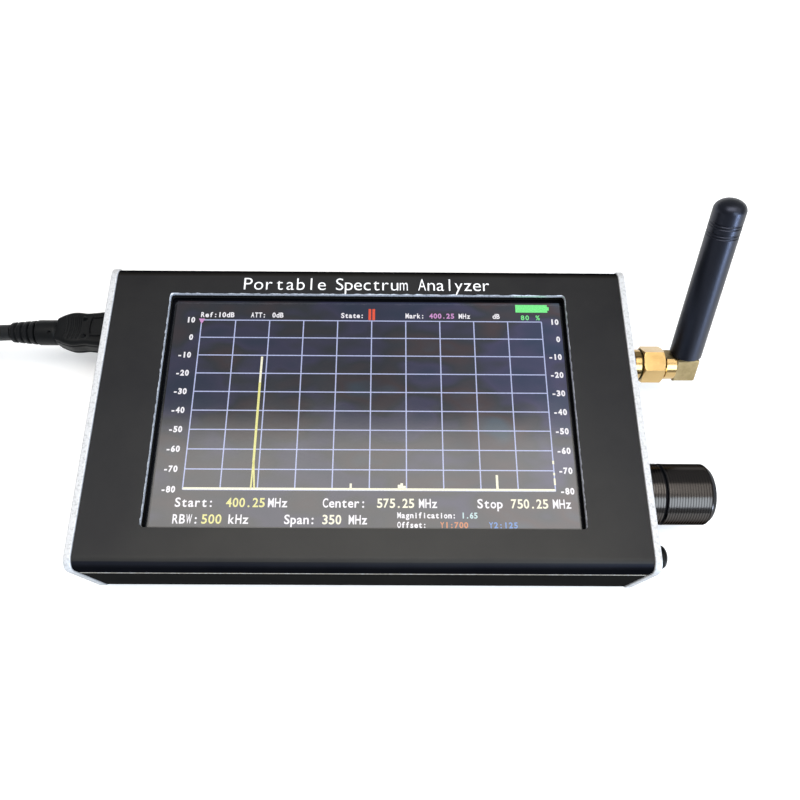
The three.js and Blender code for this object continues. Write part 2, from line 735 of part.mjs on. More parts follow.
const lead = group(analyzer, 0, USB_Y, PORT_Z);
add(lead, 'usb_socket', usbSocket(), steel());
add(lead, 'usb_plug_shell', block([-61.6, -3.2, -1.4], [-53.5, 3.2, 1.4]), steel());
add(lead, 'usb_plug_moulding', plugMoulding(), blackPlastic());
const reliefProfile = [
  [0, RELIEF_END_X],
  [2.4, RELIEF_END_X],
  [3.2, PLUG_END_X - 5],
  [3.2, PLUG_END_X - GAP],
  [0, PLUG_END_X - GAP],
];
add(lead, 'usb_strain_relief', turnedAboutX(reliefProfile), blackPlastic());

// ---------------------------------------------------------------------------------------------
// The lead: down to the table, a flat coil to the left, and the large plug beside it

const TABLE_LIFT = CORD_RADIUS + 0.02; // height of the lead's middle where it lies on the table

const leadIn = [
  [RELIEF_END_X - GAP, USB_Y, PORT_Z],
  [-93, USB_Y, 11.7],
  [-97, USB_Y, 10.8],
  [-101, USB_Y, 9.2],
  [-105, USB_Y, 7.2],
  [-109, USB_Y, 5.2],
  [-113, USB_Y, 3.6],
  [-117, USB_Y, 2.5],
  [-121, USB_Y, 2.05],
  [-124, USB_Y, TABLE_LIFT],
];

const TAIL_X = COIL_CENTRE[0] - COIL_MIDDLE_RADIUS - 2 * CORD_RADIUS;
const BIG_PLUG_Z = 4.05;

const tail = [
  [TAIL_X, -18, 5.3],
  [TAIL_X, -20.5, 4.8],
  [TAIL_X, -23, 4.3],
  [TAIL_X, -25.5, BIG_PLUG_Z],
];

function cordTube(points, steps) {
  const curve = new THREE.CatmullRomCurve3(points.map((point) => new THREE.Vector3(...point)));
  const corners = [0, 1, 2, 3, 4, 5, 6, 7].map((i) => {
    const angle = (i * Math.PI) / 4;
    return new THREE.Vector2(CORD_RADIUS * Math.cos(angle), CORD_RADIUS * Math.sin(angle));
  });
  return new THREE.ExtrudeGeometry(new THREE.Shape(corners), { steps, extrudePath: curve });
}

function coil() {
  const halfWidth = COIL_TURNS_ACROSS * CORD_RADIUS;
  const top = 2 * COIL_LAYERS * CORD_RADIUS;
  const inner = COIL_MIDDLE_RADIUS - halfWidth;
  const outer = COIL_MIDDLE_RADIUS + halfWidth;
  const profile = [[inner, 0], [outer, 0], [outer, top], [inner, top], [inner, 0]];
  return turnedAboutZ(profile, 48);
}

add(analyzer, 'cord_tube', cordTube(leadIn, 16), blackPlastic());
add(analyzer, 'cord_coil', coil(), blackPlastic()).position.set(...COIL_CENTRE, 0.02);
add(analyzer, 'cord_tail', cordTube(tail, 4), blackPlastic());

/** The large plug, in a frame whose X runs from the lead to the plug's mouth. */
function bigPlugShell() {
  const shell = cut(block([27.5, -6, -2.25], [39.5, 6, 2.25]), block([28, -5.6, -1.85], [40, 5.6, 1.85]));
  return join(shell, block([27.7, -5.7, -0.1], [39.1, 5.7, 1.9]));
}

const bigPlug = group(analyzer, TAIL_X, tail[tail.length - 1][1], BIG_PLUG_Z);
bigPlug.rotation.z = -Math.PI / 2;
const bigReliefProfile = [[0, GAP], [2.4, GAP], [3.3, 7.5], [0, 7.5]];
add(bigPlug, 'usb_a_relief', turnedAboutX(bigReliefProfile), blackPlastic());
const grip = extrudeAlongX(roundedRectangle(15.5, 8, 1.5), 7.8, 27.2, 3);
add(bigPlug, 'usb_a_moulding', grip, blackPlastic());
add(bigPlug, 'usb_a_shell', bigPlugShell(), steel());

export default analyzer;
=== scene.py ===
import math

import bmesh
import bpy
from mathutils import Matrix, Vector, noise


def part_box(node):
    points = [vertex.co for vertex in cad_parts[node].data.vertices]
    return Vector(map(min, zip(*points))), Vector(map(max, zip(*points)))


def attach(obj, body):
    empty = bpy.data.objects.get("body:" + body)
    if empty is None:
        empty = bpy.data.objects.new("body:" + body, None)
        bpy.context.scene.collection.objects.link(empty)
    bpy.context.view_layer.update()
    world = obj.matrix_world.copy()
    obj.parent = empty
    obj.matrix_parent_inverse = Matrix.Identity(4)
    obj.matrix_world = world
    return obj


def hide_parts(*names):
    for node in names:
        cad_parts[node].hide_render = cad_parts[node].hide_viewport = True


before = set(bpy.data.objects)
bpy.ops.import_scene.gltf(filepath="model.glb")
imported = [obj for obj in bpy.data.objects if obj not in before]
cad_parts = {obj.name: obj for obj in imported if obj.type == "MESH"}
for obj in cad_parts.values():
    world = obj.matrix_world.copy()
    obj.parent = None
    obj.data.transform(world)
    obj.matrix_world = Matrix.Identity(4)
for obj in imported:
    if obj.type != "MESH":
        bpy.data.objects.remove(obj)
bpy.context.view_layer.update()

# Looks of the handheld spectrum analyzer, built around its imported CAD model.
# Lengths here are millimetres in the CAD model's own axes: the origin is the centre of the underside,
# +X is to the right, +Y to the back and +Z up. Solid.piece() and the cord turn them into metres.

MM = 0.001
QUARTER = math.pi / 2
scene = bpy.context.scene


# == Places and sizes, from the CAD model ==

def span(node):
    """A CAD node's lowest and highest corners, in millimetres."""
    return [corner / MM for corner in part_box(node)]


def middle(node):
    return sum(span(node), Vector()) / 2


def ends(node):
    """A CAD node's lowest and highest X."""
    return [corner.x for corner in span(node)]


COVER_FOOT_Z = span("top_cover")[0].z
END_X, HALF_DEPTH, TOP_Z = span("top_cover")[1]
TONGUE_TOP_Z = span("lower_case")[1].z
PLATE_INNER_X = span("end_plate_right")[0].x
PLATE_OUTER_X, PLATE_HALF_DEPTH, PLATE_TOP_Z = span("end_plate_right")[1]
SCREEN_Y = middle("screen_glass").y
PORT_Z = middle("aerial_jack").z
AERIAL_PORT = (middle("aerial_jack").y, PORT_Z)
SHAFT = (middle("encoder_bushing").y, PORT_Z)
KEY_PORT = (middle("key_cap").y, PORT_Z)
USB_PORT = (middle("usb_socket").y, PORT_Z)
SCREW_Y, SCREW_Z = middle("plate_screw_right_4").yz
SCREW_LOW_Z = middle("plate_screw_right_1").z

# Sizes that a node's box doesn't give, the same as the CAD model's own.
EDGE_RADIUS = 2.8
WALL = 1.6
COVER_THICKNESS = 2.0
SKIRT = 0.6
SEAM_STEP = 0.9
PLATE_RADIUS = 3.0
WINDOW_LENGTH = 93.5
WINDOW_DEPTH = 56.1
AERIAL_LEAN = math.radians(30)
COUPLING_NUT_TURN = math.radians(104.6)

# Sizes of details that are finer here than in the CAD model.
SEAM_CHAMFER = 0.46
RING_PITCH = 0.6  # of the tool rings round the knob
RING_DEPTH = 0.008
WINDOW_RADIUS = 0.7
BARE_DEPTH = 0.75  # the window's wall is bare metal down to here, and dark below


# == Materials ==

def shade_of(code):
    """A screen colour such as 0x2B2C30 as linear red, green and blue."""
    parts = [((code >> shift) & 255) / 255 for shift in (16, 8, 0)]
    return tuple(c / 12.92 if c <= 0.04045 else ((c + 0.055) / 1.055) ** 2.4 for c in parts)


class Look:
    """A material: one Principled shader, whose sockets hold values or take textures."""

    def __init__(self, name, color, roughness, metallic=0.0, **sockets):
        self.material = bpy.data.materials.new(name)
        self.material.use_nodes = True
        self.nodes = self.material.node_tree.nodes
        self.shader = self.nodes["Principled BSDF"]
        self.set(Base_Color=color, Roughness=roughness, Metallic=metallic, **sockets)

    def set(self, **sockets):
        self.fill(self.shader, sockets)
        return self

    def fill(self, node, sockets):
        """Puts values, colours or other nodes' outputs into a node's sockets."""
        for name, value in sockets.items():
            socket = node.inputs[name.replace("_", " ")]
            if isinstance(value, bpy.types.NodeSocket):
                self.material.node_tree.links.new(value, socket)
            elif socket.type == "RGBA":
                socket.default_value = (*(shade_of(value) if isinstance(value, int) else value), 1)
            else:
                socket.default_value = value

    def node(self, kind, output=0, **sockets):
        made = self.nodes.new("ShaderNode" + kind)
        self.fill(made, sockets)
        return made.outputs[output]

    def place(self, size, stretch=(1, 1, 1), shift=0.0):
        """Coordinates on the piece in which one unit is size millimetres, times stretch."""
        scale = [1 / (MM * size * s) for s in stretch]
        flat = self.node("TexCoord", "Object")
        return self.node("Mapping", Vector=flat, Scale=scale, Location=(shift, shift, shift))

    def grain(self, size, detail=3.0, stretch=(1, 1, 1), shift=0.0, blur=0.55):
        """Noise from 0 to 1 with features about size millimetres across."""
        where = self.place(size, stretch, shift)
        return self.node("TexNoise", Vector=where, Scale=1.0, Detail=detail, Roughness=blur)

    def facing(self):
        """0 where the surface looks straight at the viewer, and 1 at its outline."""
        return self.node("LayerWeight", "Facing", Blend=0.5)

    def spread(self, value, low, high, start=0.3, end=0.7):
        """The value's range from start to end, turned into low to high."""
        return self.node("MapRange", Value=value, From_Min=start, From_Max=end, To_Min=low, To_Max=high)

    def tint(self, value, *stops):
        """A colour for each place of a value from 0 to 1: stops are (place, colour)."""
        made = self.nodes.new("ShaderNodeValToRGB")
        self.fill(made, {"Fac": value})
        ramp = made.color_ramp
        while len(ramp.elements) < len(stops):
            ramp.elements.new(0.5)
        for element, (where, color) in zip(ramp.elements, stops):
            element.position = where
            element.color = (*shade_of(color), 1)
        return made.outputs[0]

    def relief(self, height, depth, **under):
        """Bump of depth millimetres, on top of another bump if one is given as Normal."""
        return self.node("Bump", Height=height, Distance=depth * MM, Strength=1.0, **under)

    def finish(self, tone, stops, grain, rough, depth):
        """Takes the colour from tone, and the sheen and a bump from grain."""
        color, sheen = self.tint(tone, *stops), self.spread(grain, *rough)
        return self.set(Base_Color=color, Roughness=sheen, Normal=self.relief(grain, depth))

    def shade(self, share):
        """Darkens the colour to a share of itself."""
        color = self.shader.inputs["Base Color"].links[0].from_socket
        return self.set(Base_Color=self.node("HueSaturation", Value=share, Color=color))


def anodised(name, dark, light, roughness):
    """Fine-blasted black anodised aluminium, a little uneven in colour and sheen. Its colour and sheen darken
    towards its outline as painted shade, and its reflections turn blue there as a painted reflection.
    """
    look = Look(name, dark, roughness)
    look.finish(look.grain(14, 4), [(0.3, dark), (0.7, light)],
                look.grain(0.16, 2), (roughness - 0.05, roughness + 0.07), 0.006)
    # Painted shade: colour and sheen darken where the surface is seen edge-on, and the reflection tint turns
    # blue there.
    facing = look.facing()
    look.shade(look.spread(facing, 1.0, 0.45, 0.2, 0.4))
    return look.set(
        Specular_IOR_Level=look.spread(facing, 0.22, 0.0, 0.03, 0.25),
        Specular_Tint=look.tint(facing, (0.05, 0xFFFFFF), (0.2, 0xA8BCFF)),
    )


def blasted(name, dark, light, roughness, metallic):
    """Bare aluminium with a speckle from blasting."""
    look = Look(name, light, roughness, metallic)
    speckle = look.grain(0.55, 5, blur=0.7)
    streak = look.grain(2.2, 3, (1, 0.35, 1))
    look.finish(speckle, [(0.32, dark), (0.5, light), (0.8, 0xD4D5D8)],
                streak, (roughness - 0.08, roughness + 0.1), 0.01)
    under = look.shader.inputs["Normal"].links[0].from_socket
    return look.set(Normal=look.relief(speckle, 0.02, Normal=under))


def painted_low_shade(look):
    """Darkens an end plate below its top edge: painted shade, leaving the top edge bright."""
    height = look.node("SeparateXYZ", 2, Vector=look.place(1.0))
    return look.shade(look.spread(height, 0.6, 1.0, PLATE_TOP_Z - 4, PLATE_TOP_Z - 0.5))


def metal(name, dark, light, roughness, size=0.5, depth=0.004, stain=9.0, brush=(1, 1, 1)):
    """Metal with a fine brushed or turned grain and slow changes of colour."""
    look = Look(name, light, roughness, 1.0)
    scratch = look.grain(size, 4, brush, blur=0.6)
    return look.finish(look.grain(stain), [(0.3, dark), (0.7, light)],
                       scratch, (roughness * 0.75, roughness * 1.4), depth)


def ringed(name, dark, light, roughness):
    """Black anodised metal with tool rings round the X axis."""
    look = Look(name, dark, roughness, 1.0, Specular_Tint=(0.3, 0.3, 0.3))
    rings = look.node("TexWave", "Fac", Vector=look.place(RING_PITCH / 0.314), Scale=1.0, Distortion=0.6)
    return look.finish(rings, [(0.05, dark), (0.6, light)],
                       look.grain(0.7, 3, (0.15, 8, 8)), (roughness * 0.8, roughness * 1.5), 0.003)


def plastic(name, dark, light, roughness, size=0.35, depth=0.01, shine=0.5):
    """Moulded plastic or rubber with a fine spark-eroded grain."""
    look = Look(name, dark, roughness, Specular_IOR_Level=shine)
    return look.finish(look.grain(size * 25), [(0.3, dark), (0.75, light)],
                       look.grain(size), (roughness - 0.06, roughness + 0.08), depth)


def rubber(*settings):
    """Black rubber, whose sheen fades and turns blue towards its outline."""
    look = plastic(*settings)
    sheen = look.spread(look.facing(), 0.48, 0.08, 0.45, 0.85)
    return look.set(Specular_IOR_Level=sheen, Specular_Tint=0xD6DEFF)


def glow(name, color, strength):
    """Part of the lit picture, under the same gloss as the screen."""
    look = Look(name, 0x050505, 0.18, Emission_Color=color)
    return look.set(Emission_Strength=look.spread(look.grain(0.3, 1), strength * 0.85, strength * 1.1))


case_look = anodised("anodised_black", 0x252423, 0x2B2A28, 0.45)
# A darker copy of the case's finish, for the cover's rounded long edges: painted shade.
shoulder_painted_shade_look = anodised("anodised_painted_shade", 0x101116, 0x15161A, 0.5)
# The end plates darken below their top edge: painted shade.
plate_look = painted_low_shade(blasted("blasted_aluminium", 0xA6A7A9, 0xCCCDCF, 0.55, 0.3))
raw_edge = blasted("raw_cut_aluminium", 0x7E8188, 0xD8DCE4, 0.4, 0.55)
# A pale colour for the seam's chamfer: a painted highlight.
seam_highlight_look = blasted("seam_painted_highlight", 0x8E877C, 0xA69E91, 0.5, 0.0)
knob_look = ringed("turned_black", 0x2E2C2B, 0x4A4745, 0.15)
steel_look = metal("steel", 0x8F9194, 0xB9BBBE, 0.3, 0.4)
zinc_look = metal("zinc_screw", 0x77797C, 0xA9ABAE, 0.35, 0.3)
gold_look = metal("gold_plate", 0xA98B58, 0xC1A676, 0.16, 0.6, 0.0012, brush=(0.2, 1, 1))
# A darker gold for the coupling nut's neck groove: painted shade.
gold_painted_shade = metal("gold_painted_shade", 0x5A4E30, 0x6E6140, 0.45)
satin_gold = metal("satin_gold", 0x83714E, 0xA28F68, 0.42, 0.28, 0.02, 3.0)
foil_look = metal("battery_foil", 0x888B91, 0xA9ACB2, 0.4, 1.5, 0.03)
print_look = plastic("white_print", 0xE8E8EA, 0xF4F4F6, 0.5, 0.2, 0.004)
# A darker look for the knob's groove and rim end: painted shade.
knob_painted_shade_look = plastic("turned_black_painted_shade", 0x0C0D10, 0x14151A, 0.5, 0.2, 0.004, 0.08)
key_look = plastic("key_black", 0x040405, 0x070708, 0.35, 0.3, 0.006, 0.12)
rubber_look = rubber("black_rubber", 0x030406, 0x06070A, 0.33, 0.22, 0.006)
plastic_look = plastic("black_plastic", 0x0E0F11, 0x151618, 0.4)
moulding_look = plastic("moulded_black", 0x0C0D0E, 0x131416, 0.45, 0.28, 0.014, 0.14)
cord_look = plastic("cord_jacket", 0x111315, 0x191B1E, 0.48, 0.5, 0.012, 0.3)
tie_look = plastic("tie_strap", 0x2A2C30, 0x3A3D42, 0.7, 0.18, 0.03)
tongue_look = plastic("plug_tongue", 0xD9DADC, 0xE9EAEB, 0.45)
board_look = plastic("solder_mask", 0x12401F, 0x1B5A2E, 0.3, 1.2, 0.01)


# == Shapes ==

AXES = {
    "x": lambda a, b, along: (along, a, b),
    "y": lambda a, b, along: (a, along, b),
    "z": lambda a, b, along: (a, b, along),
}
SQUARE = [(-1, -1), (1, -1), (1, 1), (-1, 1)]


def around(angle, radius=1.0):
    """A place on a circle."""
    return Vector((radius * math.cos(angle), radius * math.sin(angle)))


def rounded(corners, steps=8):
    """An outline through corners (a, b, radius), each one rounded to its radius."""
    outline = []
    for i, (a, b, radius) in enumerate(corners):
        here = Vector((a, b))
        if not radius:
            outline.append(here)
            continue
        before = (Vector(corners[i - 1][:2]) - here).normalized()
        after = (Vector(corners[(i + 1) % len(corners)][:2]) - here).normalized()
        half = before.angle(after) / 2
        centre = here + (before + after).normalized() * (radius / math.sin(half))
        start = here + before * (radius / math.tan(half)) - centre
        end = here + after * (radius / math.tan(half)) - centre
        sweep = start.angle_signed(end)
        outline += [centre + Matrix.Rotation(-sweep * k / steps, 2) @ start for k in range(steps + 1)]
    return outline


def rectangle(half_a, half_b, radius, centre=(0, 0), steps=6):
    return rounded([(centre[0] + a * half_a, centre[1] + b * half_b, radius) for a, b in SQUARE], steps)


def inset(outline, distance):
    """The outline moved inwards by a distance."""
    if not distance:
        return list(outline)
    area = sum(p.x * q.y - q.x * p.y for p, q in zip(outline, outline[1:] + outline[:1]))
    side = math.copysign(1, area)
    moved = []
    for i, here in enumerate(outline):
        before = here - outline[i - 1]
        after = outline[(i + 1) % len(outline)] - here
        before = before.normalized() if before.length > 1e-7 else after.normalized()
        after = after.normalized() if after.length > 1e-7 else before
        along = (before + after).normalized()
        normal = Vector((-along.y, along.x)) * side
        spread = max(0.5, before.dot(along))
        moved.append(here + normal * (distance / spread))
    return moved


class Solid:
    """Points and faces of a piece as it is put together. Each face has the number of its finish."""

    def __init__(self):
        self.points, self.faces, self.marks = [], [], []

    def add(self, points, faces, mark):
        """Adds faces, each one a list of numbers of the new points."""
        first = len(self.points)
        self.points += points
        self.faces += [[first + i for i in face] for face in faces]
        self.marks += [mark] * len(faces)
        return self

    def loft(self, rings, mark=0, loop=False):
        """A closed skin over rings of points. A ring may be one point, and loop joins last to first."""
        points, numbers, faces = [], [], []
        for ring in rings:
            numbers.append(range(len(points), len(points) + len(ring)))
            points += [Vector(p) for p in ring]
        count = max(len(ring) for ring in rings)
        for near, far in zip(numbers, numbers[1:] + (numbers[:1] if loop else [])):
            for i in range(count):
                j = (i + 1) % count
                corners = [near[i % len(near)], near[j % len(near)], far[j % len(far)], far[i % len(far)]]
                faces.append(list(dict.fromkeys(corners)))
        if not loop:
            faces += [list(ring) for ring in (numbers[0], numbers[-1]) if len(ring) > 1]
        return self.add(points, faces, mark)

    def turned(self, profile, axis="x", centre=(0, 0), steps=72, mark=0, limit=None, phase=0.0):
        """A profile of (along, radius) turned about an axis. It closes if it ends where it starts.
        A limit gives the radius that is left at a radius and an angle."""
        loop = profile[0] == profile[-1] and profile[0][1] > 0
        rings = []
        for along, radius in profile[:-1] if loop else profile:
            ring = []
            for i in range(steps if radius else 1):
                angle = 2 * math.pi * i / steps
                reach = limit(radius, angle) if limit else radius
                ring.append(AXES[axis](*(Vector(centre) + around(angle + phase, reach)), along))
            rings.append(ring)
        return self.loft(rings, mark, loop)

    def pad(self, outline, low, high, bevel=0.0, axis="z", mark=0, steps=3):
        """An outline given thickness, its two rims rounded by bevel."""
        levels = [(low, 0.0), (high, 0.0)]
        if bevel:
            turns = [around(QUARTER * k / steps, bevel) for k in range(steps + 1)]
            rise = [(bevel - turn.x, bevel - turn.y) for turn in turns]
            levels = [(low + up, back) for up, back in rise]
            levels += [(high - up, back) for up, back in reversed(rise)]
        rings = [[AXES[axis](p.x, p.y, along) for p in inset(outline, back)] for along, back in levels]
        return self.loft(rings, mark)

    def block(self, low, high, bevel=0.1, steps=2):
        """A box between two corners with all its edges rounded."""
        low, high = Vector(low), Vector(high)
        half, centre = (high - low) / 2, (low + high) / 2
        outline = rectangle(half.x, half.y, bevel, centre.xy, steps)
        return self.pad(outline, low.z, high.z, bevel, steps=steps)

    def moved(self, matrix):
        self.points = [matrix @ p for p in self.points]
        return self

    def marked(self, rule):
        """Gives each face its finish, by a rule on its corners."""
        self.marks = [int(rule([self.points[i] for i in face])) for face in self.faces]
        return self

    def made(self, name, looks):
        """A mesh object of this solid, in metres, with its faces turned outwards."""
        mesh = bpy.data.meshes.new(name)
        mesh.from_pydata([p * MM for p in self.points], [], self.faces)
        for look in looks:
            mesh.materials.append(look.material)
        mesh.polygons.foreach_set("material_index", self.marks)
        work = bmesh.new()
        work.from_mesh(mesh)
        bmesh.ops.recalc_face_normals(work, faces=work.faces)
        work.to_mesh(mesh)
        work.free()
        return placed(name, mesh)

    def piece(self, name, node, slot, *looks, body="root", cuts=(), cut_looks=(), sharp=32, joined=False):
        """The finished piece, which stands for a CAD node. Cuts leave faces with cut_looks or the first
        look. joined says that the piece is made of solids that pass into each other."""
        made = self.made(name, looks)
        for tool in cuts:
            change = made.modifiers.new("cut", "BOOLEAN")
            change.operation = "DIFFERENCE"
            change.solver = "EXACT"
            change.material_mode = "TRANSFER"
            change.use_self = joined
            change.object = tool.made(name + "_cut", cut_looks or looks[:1])
        tools = [change.object for change in made.modifiers]
        apply_changes(made)
        for tool in tools:
            bpy.data.objects.remove(tool)
        made.data.shade_smooth()
        made.data.set_sharp_from_angle(angle=math.radians(sharp))
        made.modifiers.new("flat_faces", "WEIGHTED_NORMAL").keep_sharp = True
        apply_changes(made)
        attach(made, body)
        if node:
            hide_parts(node)


def placed(name, data):
    """A new object in the scene."""
    made = bpy.data.objects.new(name, data)
    scene.collection.objects.link(made)
    return made


def apply_changes(made):
    """Turns an object's modifiers into its mesh."""
    if not made.modifiers:
        return
    bpy.context.view_layer.update()
    shaped = made.evaluated_get(bpy.context.evaluated_depsgraph_get())
    result = bpy.data.meshes.new_from_object(shaped)
    made.modifiers.clear()
    made.data = result


def at(place, *points):
    """Points of a profile, (along, radius), measured along the axis from a place."""
    return [(place + along, radius) for along, radius in points]


def flipped(points):
    return [(-along, radius) for along, radius in reversed(points)]


def hexagonal(flat):
    """Limits a turned shape to six flats, this far from its axis."""

    def limit(radius, angle):
        off = (angle + math.pi / 6) % (math.pi / 3) - math.pi / 6
        return min(radius, flat / math.cos(off))

    return limit


def hex_nut(name, node, slot, look, flat, bore, centre):
    """A nut with turned chamfers at both ends and a bore with small countersinks."""
    start, end = ends(node)
    low, high = flat * 0.985, flat / math.cos(math.pi / 6) + 0.02
    chamfer = [(0.35 * k / 6, low + (high - low) * k / 6) for k in range(7)]
    profile = at(start, (0.25, bore), (0, bore + 0.25), *chamfer)
    profile += at(end, *flipped(chamfer), (0, bore + 0.25), (-0.25, bore)) + profile[:1]
    nut = Solid().turned(profile, centre=centre, steps=96, limit=hexagonal(flat), phase=QUARTER)
    nut.piece(name, node, slot, look)


def thread(start, end, radius, pitch, depth):
    """Ring-shaped thread crests between two places along the axis."""
    count = int((end - start) / pitch)
    step = (end - start) / count
    crest = [(0.1, depth), (0.5, 0), (0.65, 0), (1, depth)]
    return [(start + step * (i + share), radius - low) for i in range(count) for share, low in crest]


def dome(foot, height, radius):
    """A quarter of an ellipse, from a place along the axis up to the axis itself."""
    turns = [around(QUARTER * k / 12) for k in range(12)]
    return [(foot + height * turn.y, radius * turn.x) for turn in turns] + [(foot + height, 0)]


def dense_rectangle(half_a, half_b, radius, across_steps, up_steps, corner_steps):
    """A rounded rectangle with points all along its sides, always the same number of them."""
    a, b = half_a - radius, half_b - radius
    corners = [Vector(corner) for corner in ((a, -b), (a, b), (-a, b), (-a, -b), (a, -b))]
    outline = []
    for turn, steps in enumerate((up_steps, across_steps, up_steps, across_steps)):
        start, end = corners[turn], corners[turn + 1]
        out = around(QUARTER * turn, radius)
        outline += [start.lerp(end, k / steps) + out for k in range(steps)]
        outline += [end + around(QUARTER * (turn + k / corner_steps), radius) for k in range(corner_steps)]
    return outline


def dip(distance, width):
    """1 in the middle of a groove or pit, and 0 outside it."""
    return max(0.0, 1 - (distance / width) ** 2)


# == Camera ==

camera_data = bpy.data.cameras.new("camera")
camera_data.sensor_width = 36
camera_data.lens = 32.51
camera_data.shift_x = 0.01125
camera_data.shift_y = 0.0125
camera_data.clip_start = 0.01
scene.camera = placed("camera", camera_data)
scene.camera.location = (0.00472, -0.06077, 0.17358)
scene.camera.rotation_euler = [math.radians(a) for a in (21.84, -0.40, 0.19)]


# == Charging lead ==

CORD_RADIUS = 2.0
LEAD_IN = [(x, 24.35, z) for x, z in (
    (-89.3, 12.0), (-93, 11.7), (-97, 10.8), (-101, 9.2), (-105, 7.2), (-109, 5.2), (-113, 3.6),
    (-117, 2.5), (-121, 2.05), (-124, 2.02), (-130, 2.02), (-135, 2.02))]
TAIL = [(-166, y, z) for y, z in (
    (-9, 6.02), (-14, 5.8), (-18, 5.3), (-20.5, 4.8), (-23, 4.3), (-25.5, 4.05))]
COIL = middle("cord_coil")
COIL_OUTER, COIL_INNER = 26.0, 18.0
LOWER_Z, UPPER_Z = 2.02, 6.02
INNER_TURN, CLIMB_END, LAST_TURN = 810, 870, 1620  # angles along the coil, in degrees from +X
TIE_ANGLE = 300


def coil_route():
    """Two layers of turns: in from the back, spiralling in below, up, and spiralling out above."""
    route = []
    for angle in range(90, LAST_TURN + 1, 10):
        outwards = max(0, INNER_TURN - angle) / (INNER_TURN - 90)
        outwards += max(0, angle - CLIMB_END) / (LAST_TURN - CLIMB_END)
        climb = min(1, max(0, angle - INNER_TURN) / (CLIMB_END - INNER_TURN))
        height = LOWER_Z + (UPPER_Z - LOWER_Z) * (climb * climb * (3 - 2 * climb))
        off = (angle - TIE_ANGLE + 180) % 360 - 180
        height += 0.55 * math.exp(-((off / 14) ** 2))
        radius = COIL_INNER + (COIL_OUTER - COIL_INNER) * outwards
        route.append((*(COIL.xy + around(math.radians(angle), radius)), height))
    return route


CORD_ROUTE = LEAD_IN + coil_route() + TAIL


def lead_cord():
    curve = bpy.data.curves.new("charging_cord", "CURVE")
    curve.dimensions = "3D"
    curve.bevel_depth = CORD_RADIUS * MM
    curve.bevel_resolution = 6
    curve.use_fill_caps = True
    line = curve.splines.new("POLY")
    line.points.add(len(CORD_ROUTE) - 1)
    for point, place in zip(line.points, CORD_ROUTE):
        point.co = (*(Vector(place) * MM), 1)
    line.use_smooth = True
    curve.materials.append(cord_look.material)
    made = placed("charging_cord", curve)
    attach(made, "root")
    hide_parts("cord_tube", "cord_coil", "cord_tail")
    return made


def cord_tie():
    """A strap round the coil's turns, at one place."""
    half = 2.6
    outside = rectangle(6.7, 4.5, 2.4, (22, 4.55))
    hole = inset(outside, 0.5)
    sides = [(outside, -half), (outside, half), (hole, half), (hole, -half)]
    strap = Solid().loft([[(p.x, y, p.y) for p in outline] for outline, y in sides], loop=True)
    strap.block((28.2, -half - 0.1, 2.2), (29.4, half + 0.1, 7.4), 0.3)
    strap.moved(Matrix.Translation((*COIL.xy, 0)) @ Matrix.Rotation(math.radians(TIE_ANGLE), 4, "Z"))
    strap.piece("cord_tie", None, "moulding", tie_look)


cord_tie()
cord = lead_cord()


# == Case ==

def both_sides(wall):
    """A section's right half, from its foot in the middle round to the top, mirrored to the left."""
    return wall + [(-y, z, radius) for y, z, radius in reversed(wall)]


def case_half(section, z):
    """One extruded half with its screw channels."""
    half = Solid().pad(rounded(section, 10), -END_X, END_X, axis="x")
    tube = [(-END_X, 1.25), (-END_X, 1.9), (END_X, 1.9), (END_X, 1.25), (-END_X, 1.25)]
    for side in (-1, 1):
        half.turned(tube, centre=(side * SCREW_Y, z), steps=20)
    return half


def lower_case():
    inside = HALF_DEPTH - WALL
    rib = inside - 1.0
    wall_top = COVER_FOOT_Z - 0.3
    slot_low, slot_high = (corner.z + play for corner, play in zip(span("main_board"), (-0.3, 0.3)))
    section = both_sides([
        (HALF_DEPTH, 0, EDGE_RADIUS),
        (HALF_DEPTH, wall_top - SEAM_CHAMFER, 0), (HALF_DEPTH - SEAM_CHAMFER, wall_top, 0),
        (HALF_DEPTH - SEAM_STEP, wall_top, 0), (HALF_DEPTH - SEAM_STEP, TONGUE_TOP_Z, 0.2),
        (inside, TONGUE_TOP_Z, 0.2),
        (inside, slot_high + 1.1, 0), (rib, slot_high + 1.1, 0), (rib, slot_high, 0), (inside, slot_high, 0),
        (inside, slot_low, 0), (rib, slot_low, 0), (rib, slot_low - 1.1, 0), (inside, slot_low - 1.1, 0),
        (inside, WALL, 0.5),
    ])

    def bare(corners):
        """The chamfer along the seam gets a pale colour: a painted highlight."""
        centre = sum(corners, Vector()) / len(corners)
        off = (abs(centre.y) - HALF_DEPTH + SEAM_CHAMFER / 2, centre.z - wall_top + SEAM_CHAMFER / 2)
        return len(corners) == 4 and max(map(abs, off)) < 0.05

    notch = Solid().block((END_X - 9, -inside, PORT_Z - 6), (END_X + 1, -inside + 4, PORT_Z + 4), 0.2)
    case_half(section, SCREW_LOW_Z).marked(bare).piece(
        "lower_case_shell", "lower_case", "black_anodised", case_look, seam_highlight_look, cuts=[notch])


